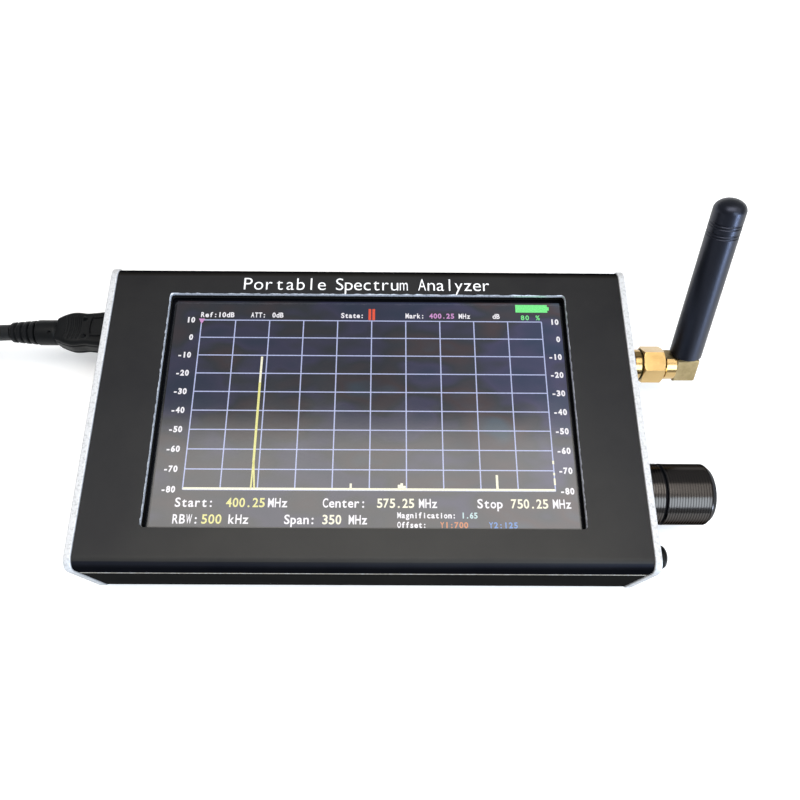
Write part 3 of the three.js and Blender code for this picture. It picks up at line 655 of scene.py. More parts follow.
def window_tool():
    """The window's cutter. Its walls wander a little, as a milled edge does, and flare at the top,
    except at the neater front edge."""
    outline = rectangle(WINDOW_LENGTH / 2, WINDOW_DEPTH / 2, WINDOW_RADIUS, (0, SCREEN_Y), 5)
    dense = []
    for here, after in zip(outline, outline[1:] + outline[:1]):
        count = max(1, round((after - here).length / 0.8))
        dense += [here.lerp(after, k / count) for k in range(count)]
    front = SCREEN_Y - WINDOW_DEPTH / 2 + 0.3
    rings = []
    for z, flare, wander in [
        (TOP_Z - COVER_THICKNESS - 1, 0, 0.0), (TOP_Z - BARE_DEPTH, 0, 0.02),
        (TOP_Z - 0.18, 0, 0.05), (TOP_Z + 0.05, 0.06, 0.26),
    ]:
        ring = []
        for here, out in zip(dense, inset(dense, -1)):
            push = flare + wander * (0.5 + noise.noise((here.x * 0.9, here.y * 0.9, 3.0)))
            push *= 0.15 if here.y < front else 1.0
            ring.append((*(here + (out - here).normalized() * push), z))
        rings.append(ring)
    rings.append([(x, y, TOP_Z + 2) for x, y, z in rings[-1]])
    return Solid().loft(rings).marked(lambda corners: min(p.z for p in corners) < TOP_Z - BARE_DEPTH - 1)


def top_cover():
    section = both_sides([
        (HALF_DEPTH - SKIRT, COVER_FOOT_Z, 0), (HALF_DEPTH, COVER_FOOT_Z, 0.12),
        (HALF_DEPTH, TOP_Z, EDGE_RADIUS),
    ])
    section += [(side * (HALF_DEPTH - SKIRT), TOP_Z - COVER_THICKNESS, 0) for side in (-1, 1)]

    def shoulder(corners):
        """The rounded long edges and the strips below them are darker: painted shade."""
        return len(corners) == 4 and min(abs(p.y) for p in corners) > HALF_DEPTH - EDGE_RADIUS * 0.6

    case_half(section, SCREW_Z).marked(shoulder).piece(
        "top_cover_shell", "top_cover", "black_anodised", case_look, shoulder_painted_shade_look,
        cuts=[window_tool()], cut_looks=[raw_edge, case_look])


lower_case()
top_cover()


# == End plates and their screws ==

SCREW_PLACES = [(y, z) for y in (-SCREW_Y, SCREW_Y) for z in (SCREW_LOW_Z, SCREW_Z)]
HALF_TURNS = {"right": Matrix(), "left": Matrix.Rotation(math.pi, 4, "Z")}
FACE_X = PLATE_OUTER_X - 0.05  # the outer face of a plate screw's head


def hole(radius, centre):
    """A cutter for a round hole through a plate, with a small chamfer at the outer face."""
    profile = at(PLATE_OUTER_X, (-3, 0), (-3, radius), (-0.12, radius), (1, radius + 1.12), (1, 0))
    return Solid().turned(profile, centre=centre, steps=64)


def slot_tool(half_y, half_z, radius, y):
    outline = rectangle(half_y, half_z, radius, (y, PORT_Z))
    return Solid().pad(outline, PLATE_OUTER_X - 3, PLATE_OUTER_X + 1, axis="x")


def end_plate(side, ports):
    """A plate whose outer face looks along +X. The left one is turned half a turn about Z."""
    outline = rectangle(PLATE_HALF_DEPTH, PLATE_TOP_Z / 2, PLATE_RADIUS, (0, PLATE_TOP_Z / 2), 12)
    plate = Solid().pad(outline, PLATE_INNER_X, PLATE_OUTER_X, 0.22, "x")
    cone = at(PLATE_OUTER_X, (-3, 0), (-3, 1.25), (-1.3, 1.25), (0, 2.5), (1, 2.5), (1, 0))
    ports += [Solid().turned(cone, centre=place, steps=40) for place in SCREW_PLACES]
    turn, name = HALF_TURNS[side], f"end_plate_{side}"
    plate.moved(turn).piece(
        name + "_panel", name, "bare_aluminium", plate_look, cuts=[port.moved(turn) for port in ports])


def plate_screw(side, number, y, z):
    """A countersunk screw with a cross recess and a threaded shank."""
    profile = at(FACE_X, (-8, 0), (-8, 0.7)) + thread(FACE_X - 7.7, FACE_X - 1.6, 0.95, 0.5, 0.16)
    profile += at(FACE_X, (-1.3, 0.95), (-0.15, 2.1), (-0.05, 2.15), (0, 2.05), (0, 0))
    screw = Solid().turned(profile, centre=(y, z), steps=40).moved(HALF_TURNS[side])
    slots = []
    for tilt in (0.3 + number, 0.3 + number + QUARTER):
        turn = HALF_TURNS[side] @ Matrix.Translation((0, y, z)) @ Matrix.Rotation(tilt, 4, "X")
        slot = Solid().pad(rectangle(1.25, 0.24, 0.1), FACE_X - 0.8, FACE_X + 1, axis="x")
        slots.append(slot.moved(turn))
    name = f"plate_screw_{side}_{number}"
    screw.piece(name + "_head", name, "steel", zinc_look, cuts=slots)


end_plate("right", [hole(3.35, AERIAL_PORT), hole(3.8, SHAFT), hole(2.9, KEY_PORT)])
end_plate("left", [slot_tool(3.6, 1.8, 0.5, -USB_PORT[0]), slot_tool(2.4, 1.4, 0.4, 4.0)])
for plate_side in HALF_TURNS:
    for screw_number, screw_place in enumerate(SCREW_PLACES, 1):
        plate_screw(plate_side, screw_number, *screw_place)


# == Lettering ==

CAP_HEIGHT = 0.695  # of a capital letter at size 1
glyph_shapes = {}


def glyph(character, weight):
    """A character of Blender's own font at size 1: its points and faces, starting at its left edge."""
    key = (character, weight)
    if key not in glyph_shapes:
        curve = bpy.data.curves.new("glyph", "FONT")
        curve.body = character
        curve.offset = weight
        curve.resolution_u = 4
        maker = placed("glyph", curve)
        bpy.context.view_layer.update()
        flat = bpy.data.meshes.new_from_object(maker.evaluated_get(bpy.context.evaluated_depsgraph_get()))
        left = min((v.co.x for v in flat.vertices), default=0)
        points = [(v.co.x - left, v.co.y) for v in flat.vertices]
        glyph_shapes[key] = (points, [list(face.vertices) for face in flat.polygons])
        bpy.data.objects.remove(maker)
        bpy.data.meshes.remove(flat)
    return glyph_shapes[key]


def write(solid, text, left, right, base, height, z, weight, mark=0):
    """Sets text in equal cells from left to right, on a base line, with capitals of this height."""
    cell = (right - left) / len(text)
    size = height / CAP_HEIGHT
    for i, character in enumerate(text):
        if character == " ":
            continue
        points, faces = glyph(character, weight)
        width = max(x for x, y in points)
        wide = min(size, cell * 0.86 / width)
        start = left + cell * (i + 0.5) - width * wide / 2
        solid.add([Vector((start + x * wide, base + y * size, z)) for x, y in points], faces, mark)


title = Solid()
for words, left_x, right_x in (("Portable", -29.9, -9.8), ("Spectrum Analyzer", -7.9, 29.3)):
    write(title, words, left_x, right_x, 29.75, 3.3, TOP_Z + 0.02, -0.006)
title.piece("title_print", None, "bare_aluminium", print_look)


# == Screen: places in its picture are in dots, right and down from the grid's back left corner ==

DOT = 0.1154
GRID_LEFT_X, GRID_BACK_Y = -39.46, 22.81
CELLS_ACROSS, CELLS_DOWN = 10, 9
CELL_WIDTH, CELL_HEIGHT = 70, 40
GRID_WIDTH, GRID_HEIGHT = CELLS_ACROSS * CELL_WIDTH, CELLS_DOWN * CELL_HEIGHT
FLOOR_DOTS = 358  # the measured curve's noise floor
LIT_HALF, LIT_CENTRE = (45.85, 27.4), (0.1, SCREEN_Y + 0.05)
SCREEN_LOW, SCREEN_HIGH = span("screen_glass")

WHITE, LINES, MAGENTA, CREAM, YELLOW, ORANGE, BLUE, GREEN, RED, CYAN = range(10)
READOUT_COLORS = {
    "white": (0xF6F4FA, 1.0), "grid": (0xB4BCE4, 1.05), "magenta": (0xE7A6E6, 0.8),
    "cream": (0xFBF8DC, 1.0), "yellow": (0xECE890, 0.95), "orange": (0xE08A55, 0.85),
    "blue": (0x6F9BE0, 0.85), "green": (0x7CF08E, 1.05), "red": (0xEE5A3E, 0.95),
    "cyan": (0xCFEFF2, 0.85),
}

# Rows of text: their base line, height and weight, then each text with its left and right ends,
# and its colour where that isn't white.
TEXT_ROWS = [
    (-7, 11, 0.03, [
        ("Ref:10dB", -3, 67), ("ATT:", 100, 132), ("0dB", 144, 168),
        ("State:", 286, 334), ("Mark:", 419, 459), ("400.25", 468, 521, MAGENTA),
        ("MHz", 529, 554), ("dB", 599, 615)]),
    (-4.5, 10.5, 0.02, [("80", 657, 676, GREEN), ("%", 688, 698, GREEN)]),
    (393, 17, 0.018, [
        ("Start:", -12, 62), ("400.25", 83, 157, YELLOW), ("MHz", 161, 199),
        ("Center:", 263, 345), ("575.25", 364, 435, CREAM), ("MHz", 442, 478),
        ("Stop", 551, 600), ("750.25", 614, 685, CREAM), ("MHz", 692, 728)]),
    (424.5, 17, 0.018, [
        ("RBW:", -13, 37), ("500", 40, 79, YELLOW), ("kHz", 90, 129),
        ("Span:", 193, 252), ("350", 263, 300, CREAM), ("MHz", 312, 348)]),
    (412.5, 10.5, 0.03, [("Magnification:", 402, 512), ("1.65", 521, 552, CYAN)]),
    (430.5, 10.5, 0.03, [
        ("Offset:", 402, 457), ("Y1:700", 481, 534, ORANGE), ("Y2:125", 571, 626, BLUE)]),
]


class Picture(Solid):
    """The flat shapes of the picture, just above the lit glass."""

    def spot(self, right, down, lift=0.0):
        return Vector((GRID_LEFT_X + DOT * right, GRID_BACK_Y - DOT * down, SCREEN_HIGH.z + 0.01 + lift))

    def stroke(self, start, end, width, mark, lift=0.0):
        """A straight line between two places."""
        a, b = self.spot(*start, lift), self.spot(*end, lift)
        side = Vector((a.y - b.y, b.x - a.x, 0)).normalized() * width * DOT / 2
        self.add([a + side, a - side, b - side, b + side], [[0, 1, 2, 3]], mark)

    def text(self, words, left, right, base, height, weight, mark=WHITE):
        a, b = self.spot(left, base), self.spot(right, base)
        write(self, words, a.x, b.x, a.y, height * DOT, a.z, weight, mark)

    def grid(self):
        for place in range(0, GRID_WIDTH + 1, CELL_WIDTH):
            self.stroke((place, 0), (place, GRID_HEIGHT), 2.3, LINES)
        for place in range(0, GRID_HEIGHT + 1, CELL_HEIGHT):
            self.stroke((0, place), (GRID_WIDTH, place), 2.2, LINES, 0.002)

    def level_labels(self):
        """The scale in decibels, at both edges of the grid."""
        for row in range(CELLS_DOWN + 1):
            label = str(10 - 10 * row)
            for right in (-13, 736):
                left = right - 9.2 * len(label)
                self.text(label, left, right, row * CELL_HEIGHT + 5.5, 11.5, 0.045)

    def trace(self):
        """The measured curve: a low noise floor, one tall peak and a few small ones."""
        lines = [
            ((0, FLOOR_DOTS), (GRID_WIDTH, FLOOR_DOTS), 4.2, CREAM),
            ((130, 83), (129.6, 140), 4.2, CREAM), ((129.6, 140), (129, 306), 4.6, YELLOW),
            ((128.8, 304), (127.4, FLOOR_DOTS), 3.0, YELLOW), ((129.4, 304), (134, FLOOR_DOTS), 3.0, YELLOW),
        ]
        peaks = [(315, 347, 4), (406, 349, 5), (411, 346, 5), (416, 351, 5), (591, 329, 4.5)]
        for place, top, width in peaks:
            lines.append(((place, FLOOR_DOTS), (place, top), width, CREAM))
        for start, end in [(300, 307), (324, 329), (335, 348)]:
            lines.append(((GRID_WIDTH, start), (GRID_WIDTH, end), 3.4, CREAM))
        for line in lines:
            self.stroke(*line, lift=0.006)

    def signs(self):
        """The pause sign, the battery and the small pink pointer at the grid's corner."""
        for place in (345.8, 353.8):
            self.stroke((place, -28), (place, -2), 5.4, RED)
        self.stroke((648, -31), (714, -31), 18, GREEN)
        self.stroke((714, -31), (717.5, -31), 8, GREEN)
        self.add([self.spot(*place, 0.006) for place in ((-6, -3), (7, -3), (0.5, 9))], [[0, 1, 2]], MAGENTA)


def glass():
    look = Look("screen_glass", 0x08090C, 0.12)
    smear = look.grain(11, 4)
    look.set(
        Base_Color=look.tint(smear, (0.3, 0x060709), (0.7, 0x0D0E13)),
        Roughness=look.spread(smear, 0.1, 0.17),
        Normal=look.relief(look.grain(0.22, 2), 0.0016),
    )
    sheet = Solid().block(SCREEN_LOW, SCREEN_HIGH - Vector((0, 0, 0.03)), 0.15)
    sheet.piece("screen_glass_sheet", "screen_glass", "screen_glass", look)


def lit_area():
    """The lit part of the glass. Its dim glow is partly the screen's own backlight and partly a painted
    reflection of the room: the faint patches of colour and the brightening to the right.
    """
    look = Look("screen_picture", 0x0B0C10, 0.12)
    reflection_wash = look.grain(13, 2, (1.4, 0.8, 1), 2.0)
    place = look.node("SeparateXYZ", 0, Vector=look.place(1.0))
    # Patches of colour in the glow and its brightening to the right: painted reflection of the room.
    patches = [(0.3, 0x2A3348), (0.44, 0x393850), (0.52, 0x2E3138), (0.62, 0x3C3336), (0.74, 0x34424E)]
    look.set(
        Emission_Color=look.tint(reflection_wash, *patches),
        Emission_Strength=look.spread(place, 0.75, 1.55, 2, 44),
        Roughness=look.spread(look.grain(13, 4), 0.09, 0.16),
        Normal=look.relief(look.grain(0.22, 2), 0.0016),
    )
    outline = rectangle(*LIT_HALF, 0.2, LIT_CENTRE, 3)
    lit = Solid().pad(outline, SCREEN_HIGH.z - 0.04, SCREEN_HIGH.z, 0.01)
    lit.piece("screen_picture", None, "screen_glass", look)


def readouts():
    looks = [glow("readout_" + name, *light) for name, light in READOUT_COLORS.items()]
    picture = Picture()
    picture.grid()
    picture.trace()
    picture.level_labels()
    picture.signs()
    for base, height, weight, texts in TEXT_ROWS:
        for words, left, right, *mark in texts:
            picture.text(words, left, right, base, height, weight, *mark)
    picture.piece("screen_readouts", None, "screen_glass", *looks)


glass()
lit_area()
readouts()


# == Aerial port, coupling nut and aerial ==

JACK_START_X, JACK_END_X = ends("aerial_jack")
NUT_START_X, NUT_END_X = ends("coupling_nut")
NECK_END_X = NUT_END_X + 0.3
SLEEVE_X = middle("aerial_sleeve").x
AERIAL_FRAME = Matrix.Translation((0, *AERIAL_PORT)) @ Matrix.Rotation(-AERIAL_LEAN, 4, "X")


def aerial_jack():
    """A flanged barrel, threaded where it stands out of the plate, with its washer and nut."""
    flange = 58.3
    profile = at(JACK_START_X, (0, 0), (0, 3.0), (0.1, 3.1))
    profile += at(flange, (0, 3.1), (0, 4.3), (0.1, 4.4), (1.4, 4.4), (1.5, 4.3), (1.5, 3.05))
    profile += thread(flange + 1.6, JACK_END_X - 0.3, 3.05, 0.7, 0.24)
    profile += at(JACK_END_X, (0, 2.85), (0, 2.35), (-0.1, 2.3), (-2, 2.3), (-2, 0))
    Solid().turned(profile, centre=AERIAL_PORT).piece(
        "aerial_jack_barrel", "aerial_jack", "gold", gold_look)
    low, high = ends("aerial_jack_washer")
    ring = [(low, 3.35), (low, 4.7), (high, 4.7), (high, 3.35), (low, 3.35)]
    Solid().turned(
        ring, centre=AERIAL_PORT, steps=96,
        limit=lambda radius, angle: radius - (0.35 if radius > 4 and math.cos(24 * angle) > 0.2 else 0),
    ).piece("aerial_jack_lock_washer", "aerial_jack_washer", "gold", gold_look)
    hex_nut("aerial_jack_hex_nut", "aerial_jack_nut", "gold", gold_look, 4.0, 3.35, AERIAL_PORT)


def coupling_nut():
    """A round collar towards the case, a neck darkened with painted shade, and a hexagon with turned
    chamfers.
    """
    bore, narrow, flat, hexagon = 3.35, 2.45, 3.95, NUT_START_X + 2.0
    rise = flat / math.cos(math.pi / 6) + 0.05 - flat
    chamfer = [(0.04 + 0.4 * k / 8, flat - 0.03 + rise * (k / 8) ** 0.75) for k in range(9)]
    profile = at(NUT_START_X, (0.3, bore), (0, bore + 0.12), (0, 3.5), (0.15, 3.7))
    profile += at(hexagon, (-0.45, 3.7), (-0.38, 3.5), (-0.05, 3.46), (0, flat - 0.1), *chamfer)
    profile += at(NUT_END_X, *flipped(chamfer), (0, flat - 0.12), (0, narrow + 0.15), (-0.15, narrow))
    profile += at(NUT_END_X, (-2, narrow), (-2, bore)) + profile[:1]

    # The neck's faces take the darker gold: painted shade in the groove.
    def neck(corners):
        places = [p.x for p in corners]
        return min(places) > hexagon - 0.46 and max(places) < hexagon + 0.01

    Solid().turned(
        profile, centre=AERIAL_PORT, steps=144, limit=hexagonal(flat), phase=COUPLING_NUT_TURN,
    ).marked(neck).piece(
        "coupling_nut_hex", "coupling_nut", "gold", gold_look, gold_painted_shade, body="aerial_nut", sharp=24)


def aerial_elbow():
    """The neck runs along X and the sleeve's arm along Z, in the aerial's own frame."""
    start, end, half, foot, top = 75.1, 80.6, 2.75, -3.1, 3.0
    profile = at(JACK_END_X, (0.3, 0), (0.3, 2.9), (0.4, 3.0)) + at(NUT_END_X, (-2.3, 3.0), (-2.3, 2.15))
    profile += at(NECK_END_X, (0, 2.15), (0, 3.45), (0.15, 3.6))
    profile += at(start, (0, 3.6), (0, 2.6), (1, 2.6), (1, 0))
    elbow = Solid().turned(profile, steps=80)
    side = rounded([(start, foot, 0.1), (end, foot, 0.5), (end, top, 0.5), (start, top, 0.1)], 5)
    elbow.pad(side, -half, half, 0.4, "y", 1, 4)
    elbow.turned([(0, 0), (0, 2.6), (8.5, 2.6), (8.7, 2.4), (8.7, 0)], "z", (SLEEVE_X, 0), 48, 1)
    flat = Solid().block((NECK_END_X - 0.3, -5, top), (start + 0.3, 5, top + 2), 0.02)
    elbow.moved(AERIAL_FRAME).piece(
        "aerial_elbow_body", "aerial_elbow", "satin_gold", gold_look, satin_gold, body="aerial",
        cuts=[flat.moved(AERIAL_FRAME)], cut_looks=[satin_gold], joined=True)


def aerial_sleeve():
    """The rubber sleeve: a slight taper, two double ring grooves and a domed end."""
    foot, shoulder = 3.3, 40.1
    wide, slim, bore = 3.72, 3.5, 2.9
    notch = [(-0.24, 0), (-0.16, 0.1), (0, 0.17), (0.16, 0.1), (0.24, 0)]
    profile = [(9, 0), (9, bore)] + at(foot, (0.2, bore), (0, bore + 0.2), (0, wide - 0.25), (0.25, wide))
    for groove in (34.7, 35.35, 36.9, 37.55):
        rim = wide + (slim - wide) * (groove - foot) / (shoulder - foot)
        profile += [(groove + off, rim - depth) for off, depth in notch]
    profile += dome(shoulder, 2.4, slim)
    Solid().turned(profile, "z", (SLEEVE_X, 0), 80).moved(AERIAL_FRAME).piece(
        "aerial_sleeve_rubber", "aerial_sleeve", "black_rubber", rubber_look, body="aerial", sharp=50)


aerial_jack()
coupling_nut()
aerial_elbow()
aerial_sleeve()


# == Encoder and knob ==

KNOB_START_X, KNOB_END_X = ends("knob")
KNOB_RADIUS = 7.05
SET_SCREW_PLACE = (72, SHAFT[0])


def encoder_fittings():
    start, end = ends("encoder_bushing")
    profile = at(start, (0, 3.1), (0, 5.5), (0.1, 5.6), (0.9, 5.6), (1, 5.5), (1, 3.5))
    profile += thread(start + 1.1, end - 0.2, 3.5, 0.75, 0.22) + [(end, 3.3), (end, 3.1), (start, 3.1)]
    Solid().turned(profile, centre=SHAFT).piece(
        "encoder_threaded_bushing", "encoder_bushing", "steel", steel_look)
    low, high = ends("encoder_washer")
    washer = at(low, (0, 3.8), (0, 5.3), (0.1, 5.4))
    washer += at(high, (-0.1, 5.4), (0, 5.3), (0, 3.8)) + washer[:1]
    Solid().turned(washer, centre=SHAFT).piece(
        "encoder_flat_washer", "encoder_washer", "steel", steel_look)
    hex_nut("encoder_hex_nut", "encoder_nut", "steel", steel_look, 5.0, 3.8, SHAFT)


def tool_rings(start, end):
    """Shallow rounded rings round the knob, one after another."""
    count = round((end - start) / RING_PITCH)
    step = (end - start) / count
    wave = [(0.0, 1), (0.2, 0.35), (0.5, 0), (0.8, 0.35)]
    wave = [(step * share, KNOB_RADIUS - RING_DEPTH * low) for share, low in wave]
    profile = [point for i in range(count) for point in at(start + step * i, *wave)]
    return profile + [(end, KNOB_RADIUS - RING_DEPTH)]


def knob():
    """A turned knob: fine tool rings round its side, one groove, and a stepped rim at its end. The groove and
    the rim's end are darkened with painted shade.
    """
    start, end, full = KNOB_START_X, KNOB_END_X, KNOB_RADIUS
    groove = start + 4.4
    profile = at(end, (-2.6, 0), (-2.6, 3.2))
    profile += at(start, (3.4, 3.2), (3.4, 6.3), (0, 6.3), (0, full - 0.25), (0.2, full))
    profile += tool_rings(start + 0.4, groove - 0.5)
    profile += at(groove, (-0.35, full), (-0.25, full - 0.6), (0.25, full - 0.6))
    profile += at(groove, (0.4, full - 0.1), (0.55, full))
    profile += tool_rings(groove + 0.8, end - 2.0)
    rim = [(1.75, 0), (1.65, 0.14), (1.35, 0.14), (1.25, 0.04), (1.05, 0.1), (0.12, 0.86), (0, 1.0), (0, 1.5)]
    profile += [(end - back, full - low) for back, low in rim + [(0.12, 1.6), (0.12, full)]]

    def dark(corners):
        """The groove and the rim's end are darker: painted shade."""
        low, high = min(p.x for p in corners), max(p.x for p in corners)
        return high > end - 1.0 or low > groove - 0.4 and high < groove + 0.5

    bore = Solid().turned([(-9, 0), (-9, 1.6), (0, 1.6), (0, 0)], "z", SET_SCREW_PLACE, 32)
    bore.moved(Matrix.Translation((0, 0, PORT_Z)))
    Solid().turned(profile, centre=SHAFT, steps=144).marked(dark).piece(
        "knob_turned", "knob", "turned_black", knob_look, knob_painted_shade_look, body="knob_turning",
        cuts=[bore], sharp=20)


def set_screw():
    profile = [(-6.1, 0), (-6.1, 0.75), (-6.8, 0.75), (-6.9, 0.85), (-6.9, 1.2), (-6.8, 1.3), (-2.8, 1.3)]
    socket = hexagonal(0.65)
    Solid().turned(
        profile + [(-2.7, 1.2), (-2.7, 0)], "z", SET_SCREW_PLACE, 48,
        limit=lambda radius, angle: socket(radius, angle) if radius < 0.8 else radius,
    ).moved(Matrix.Translation((0, 0, PORT_Z))).piece(
        "knob_grub_screw", "knob_set_screw", "steel", steel_look, body="knob_turning")


encoder_fittings()
knob()
set_screw()


# == Run key and power switch ==

def key_cap():
    low, high = ends("key_cap")
    profile = at(low, (0, 0), (0, 3.1), (0.1, 3.2), (0.9, 3.2), (1.0, 3.1), (1.0, 2.6))
    Solid().turned(profile + dome(high - 1.3, 1.3, 2.6), centre=KEY_PORT, steps=64).piece(
        "key_cap_dome", "key_cap", "black_plastic", key_look, body="run_key", sharp=50)


def power_lever():
    low, high = span("power_switch_lever")
    x, y, z = low.x, *middle("power_switch_lever").yz
    lever = Solid().block((high.x - 0.3, y - 2, z - 1.8), (high.x, y + 2, z + 1.8), 0.08)
    lever.block((x, y - 1.1, z - 1.1), (high.x - 0.1, y + 1.1, z + 1.1), 0.15)
    groove = at(z, (-2, 0), (-2, 0.16), (2, 0.16), (2, 0))
    grooves = [Solid().turned(groove, "z", (x, y + off), 16) for off in (-0.6, 0, 0.6)]
    lever.piece("power_lever_ribbed", "power_switch_lever", "black_plastic", plastic_look,
                body="power_lever", cuts=grooves)


key_cap()
power_lever()


# == Charging socket and small plug ==

MOULDING_OUTLINE = [
    (-61.9, 4.6), (-64, 4.68), (-66, 4.7), (-68.5, 4.45), (-70.2, 4.3), (-72, 4.5), (-73.5, 4.5),
    (-75.2, 4.0), (-77.5, 3.2),
]
MOULDING_HALF_HEIGHT = 3.1


def usb_shells():
    """The socket's can, and the shell of the plug in it."""
    low, high = ends("usb_socket")
    can = Solid().pad(rectangle(3.85, 2.0, 0.7, USB_PORT), low, high, 0.08, "x")
    mouth = Solid().pad(rectangle(3.5, 1.7, 0.5, USB_PORT), low - 1, low + 6.4, axis="x")
    can.piece("usb_socket_can", "usb_socket", "steel", steel_look, cuts=[mouth])
    low, high = ends("usb_plug_shell")
    shell = Solid().pad(rectangle(3.2, 1.4, 0.5, USB_PORT), low, high, 0.1, "x")
    shell.piece("usb_small_plug_shell", "usb_plug_shell", "steel", steel_look)


def moulding_width(x):
    """Half the moulding's width at a place along it: a smooth line through the outline's points."""
    points = MOULDING_OUTLINE
    last = len(points) - 1
    i = min(max(k for k, (place, half) in enumerate(points) if place >= x - 1e-9), last - 1)
    a, b, c, d = (points[max(0, min(last, i + k))][1] for k in (-1, 0, 1, 2))
    t = (x - points[i][0]) / (points[i + 1][0] - points[i][0])
    curve = (2 * a - 5 * b + 4 * c - d) * t * t + (3 * b - a - 3 * c + d) * t ** 3
    return b + ((c - a) * t + curve) / 2


def moulding_relief(x, off):
    """How far the moulding's flat sides stand out at a place: a raised panel, grip grooves and pits."""
    height = 0.0
    edge = -68.6 + 0.06 * off * off
    if x > edge and abs(off - 0.1) < 2.3:
        height += 0.1
    elif x > edge - 0.35 and abs(off - 0.1) < 2.62:
        height -= 0.5
    if abs(off) < 3.1:
        height -= sum(0.34 * dip(x - rib + 0.05 * off * off, 0.3) for rib in (-71.15, -72.1, -73.1, -74.3))
    for pit_x, pit_off in ((-70.25, 2.25), (-69.9, -2.45)):
        height -= 1.1 * dip(math.hypot(x - pit_x, off - pit_off), 0.55)
    return height


def rim_inset(k, count, reach, depth):
    """How far a ring is drawn in near either end of a moulding, so that its end edges are round."""
    ease = min(1.0, min(k, count - k) / reach)
    return depth * (1 - math.sqrt(max(0.0, 1 - (1 - ease) ** 2)))


def usb_moulding():
    """The small plug's moulding: rounded rings along X, with relief on its upper and lower sides."""
    start, end = MOULDING_OUTLINE[0][0], MOULDING_OUTLINE[-1][0]
    count = 120
    rings = []
    for k in range(count + 1):
        x = start + (end - start) * k / count
        shrink = rim_inset(k, count, 1 / 0.35, 0.35)
        half = moulding_width(x)
        tall = MOULDING_HALF_HEIGHT - 0.5 * max(0.0, (-74.5 - x) / 3.0) ** 2
        ring = []
        for p in dense_rectangle(half - shrink, tall - shrink, 1.2, 44, 16, 6):
            if abs(p.x) > half - shrink - 0.05:
                p.x -= math.copysign(0.3 * dip(abs(p.y) - 1.55, 0.3), p.x)
            rise = moulding_relief(x, p.x) * min(1, max(0, abs(p.y) / tall * 3 - 1.9))
            rise *= 1 if abs(p.x) < half - 1.0 else 0
            ring.append((x, USB_PORT[0] + p.x, PORT_Z + p.y + math.copysign(rise, p.y)))
        rings.append(ring)
    Solid().loft(rings).piece("usb_plug_grip", "usb_plug_moulding", "moulding", moulding_look, sharp=60)


def strain_relief():
    """A plain boss, then a taper cut into rings, which the cord comes out of."""
    low, high = ends("usb_strain_relief")
    boss_end, count = high - 4.7, 4
    step = (boss_end - low) / count
    profile = at(high, (0.7, 0), (0.7, 2.5), (0.1, 2.95), (-0.25, 3.15))
    profile += at(boss_end, (0.3, 3.15), (0, 2.95))
    for k in range(count):
        full = 3.05 - 0.55 * (k + 0.5) / count
        profile += at(
            boss_end - step * k, (-0.05, 2.2), (-0.45, 2.2), (-0.5, full - 0.15), (-0.65, full),
            (0.2 - step, full - 0.06), (0.02 - step, full - 0.2))
    profile += [(low, 2.25), (low, 0)]
    pit = at(PORT_Z, (2.5, 0), (2.5, 0.45), (5, 0.45), (5, 0))
    pit_tool = Solid().turned(pit, "z", (-78.7, USB_PORT[0] - 1.4), 20)
    Solid().turned(profile, centre=USB_PORT, steps=64).piece(
        "usb_relief_ribbed", "usb_strain_relief", "moulding", moulding_look, cuts=[pit_tool], sharp=40)


usb_shells()
usb_moulding()
strain_relief()


# == Large plug at the lead's far end, drawn along X and turned to lie along -Y ==

LARGE_PLUG_FRAME = Matrix.Translation(TAIL[-1]) @ Matrix.Rotation(-QUARTER, 4, "Z")


def large_plug_piece(solid, name, *settings, cuts=(), **details):
    cuts = [tool.moved(LARGE_PLUG_FRAME) for tool in cuts]
    solid.moved(LARGE_PLUG_FRAME).piece("large_plug_" + name, *settings, cuts=cuts, **details)


def large_plug_moulding():
    """The ribbed strain relief and the grip with its four grooves."""
    relief = [(0.3, 0), (0.3, 2.3)]
    for k in range(4):
        full = 2.5 + 0.2 * k
        crest = [(0, full - 0.1), (0.1, full), (1.15, full + 0.1), (1.2, 2.15), (1.6, 2.15)]
        relief += at(0.5 + 1.7 * k, *crest)
    relief += [(7.4, 3.2), (7.5, 3.2), (7.5, 0)]
    large_plug_piece(
        Solid().turned(relief, steps=48), "relief", "usb_a_relief", "moulding", moulding_look)
    rings = []
    for k in range(65):
        x = 7.8 + 19.4 * k / 64
        back = rim_inset(k, 64, 3, 0.6)
        wide = 7.75 - back - 0.5 * max(0.0, 1 - (x - 7.8) / 6) ** 2
        groove = sum(0.3 * dip(x - place, 0.45) for place in (11, 13, 15, 17))
        rings.append([
            (x, p.x, p.y - math.copysign(groove if abs(p.x) < 5 and abs(p.y) > 3 else 0, p.y))
            for p in dense_rectangle(wide, 4.0 - back, 1.5, 20, 6, 5)
        ])
    large_plug_piece(Solid().loft(rings), "grip", "usb_a_moulding", "moulding", moulding_look, sharp=50)


def large_plug_contact_end():
    """The folded steel shell with its four windows, and the tongue with four contacts."""
    shell = Solid().pad(rectangle(6.0, 2.25, 0.4), 27.5, 39.5, 0.12, "x")
    cuts = [Solid().pad(rectangle(5.65, 1.9, 0.3), 28.2, 41, axis="x")]
    for z in (-2.2, 2.2):
        for y in (-2.9, 2.9):
            cuts.append(Solid().block((31.2, y - 1.25, z - 0.6), (33.7, y + 1.25, z + 0.6), 0.15))
    large_plug_piece(shell, "shell", "usb_a_shell", "steel", steel_look, cuts=cuts)
    tongue = Solid().block((28.3, -5.6, 0.1), (38.6, 5.6, 1.85), 0.15)
    large_plug_piece(tongue, "tongue", None, "moulding", tongue_look)
    contacts = Solid()
    for y in (-3.5, -1.0, 1.0, 3.5):
        contacts.block((29.5, y - 0.5, -0.02), (38.0, y + 0.5, 0.14), 0.02)
    large_plug_piece(contacts, "contacts", None, "gold", gold_look)


large_plug_moulding()
large_plug_contact_end()


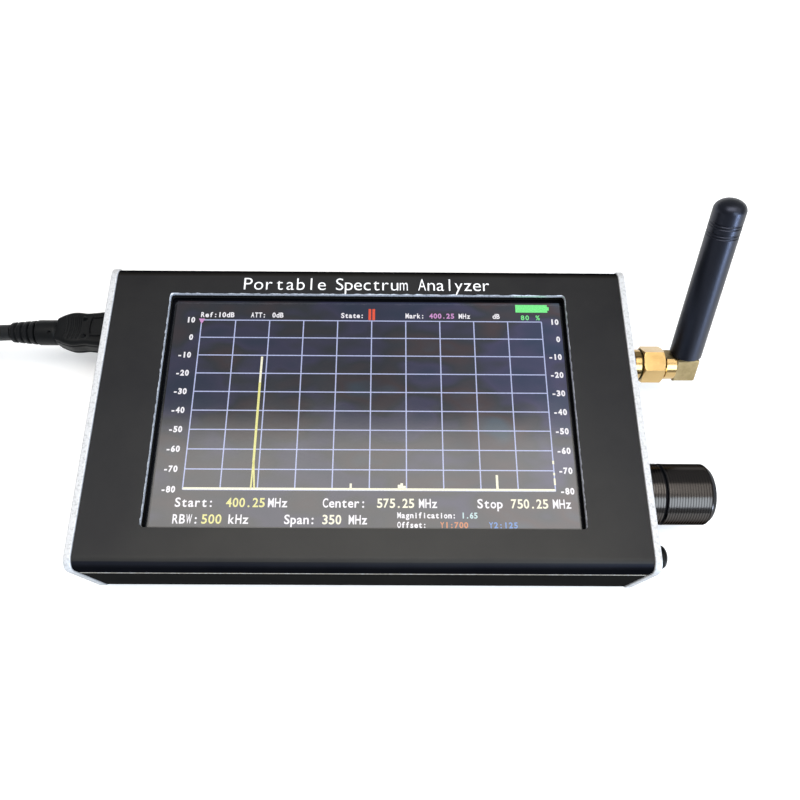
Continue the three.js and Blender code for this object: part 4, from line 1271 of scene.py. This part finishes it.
# == Parts inside the case, and others whose CAD shape stays ==

KEPT = {
    steel_look: ["screen_frame", "shield_can", "encoder_shaft"],
    board_look: ["screen_board", "main_board"],
    foil_look: ["battery"],
    plastic_look: ["processor", "encoder_body", "encoder_plunger", "key_switch", "power_switch_body"],
    gold_look: [f"standoff_{number}" for number in range(1, 5)],
    zinc_look: [f"board_screw_{number}" for number in range(1, 5)],
}
for look, nodes in KEPT.items():
    for node in nodes:
        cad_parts[node].data.materials.clear()
        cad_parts[node].data.materials.append(look.material)


# == Floor and light ==

def floor():
    half = 4.0
    mesh = bpy.data.meshes.new("floor")
    mesh.from_pydata([(a * half, b * half, 0) for a, b in SQUARE], [], [(0, 1, 2, 3)])
    look = Look("floor_paper", 0xE6E6E6, 0.9, Emission_Color=0xFFFFFF, Emission_Strength=0.34)
    look.set(Roughness=look.spread(look.grain(40), 0.85, 0.95))
    mesh.materials.append(look.material)
    made = placed("floor", mesh)
    made.location.z = -0.0002


def area_light(name, place, aim, width, height, radiance, color):
    """A rectangular light of one even brightness, facing a point."""
    data = bpy.data.lights.new(name, "AREA")
    data.shape = "RECTANGLE"
    data.size, data.size_y = width, height
    data.energy = radiance * width * height * math.pi
    data.color = color
    reach = Vector(aim) - Vector(place)
    sideways = math.hypot(reach.x, reach.y)
    turn = math.pi + math.atan2(reach.x, -reach.y) if sideways > 1e-6 else 0.0
    made = placed(name, data)
    made.location = place
    made.rotation_euler = (math.atan2(sideways, -reach.z), 0, turn)


floor()
area_light("softbox", (-0.015, 0.075, 1.2), (-0.015, 0.075, 0), 0.96, 0.72, 5.2, (1.0, 0.965, 0.915))
area_light("ceiling", (1.0, -0.05, 1.22), (1.0, -0.05, 0), 1.0, 1.2, 1.3, (1.0, 0.97, 0.92))
area_light("front_light", (0.6, -0.92, 0.87), (0.06, 0, 0.02), 0.6, 0.8, 6.2, (0.76, 0.89, 1.0))
area_light("side_light", (1.1, -1.05, 0.28), (0.08, 0, 0.03), 0.5, 0.45, 26.0, (0.62, 0.77, 1.0))

world = bpy.data.worlds.new("studio")
world.use_nodes = True
backdrop = world.node_tree.nodes["Background"]
backdrop.inputs["Color"].default_value = (0.95, 0.97, 1.0, 1)
backdrop.inputs["Strength"].default_value = 0.42
scene.world = world
scene.view_settings.view_transform = "Standard"
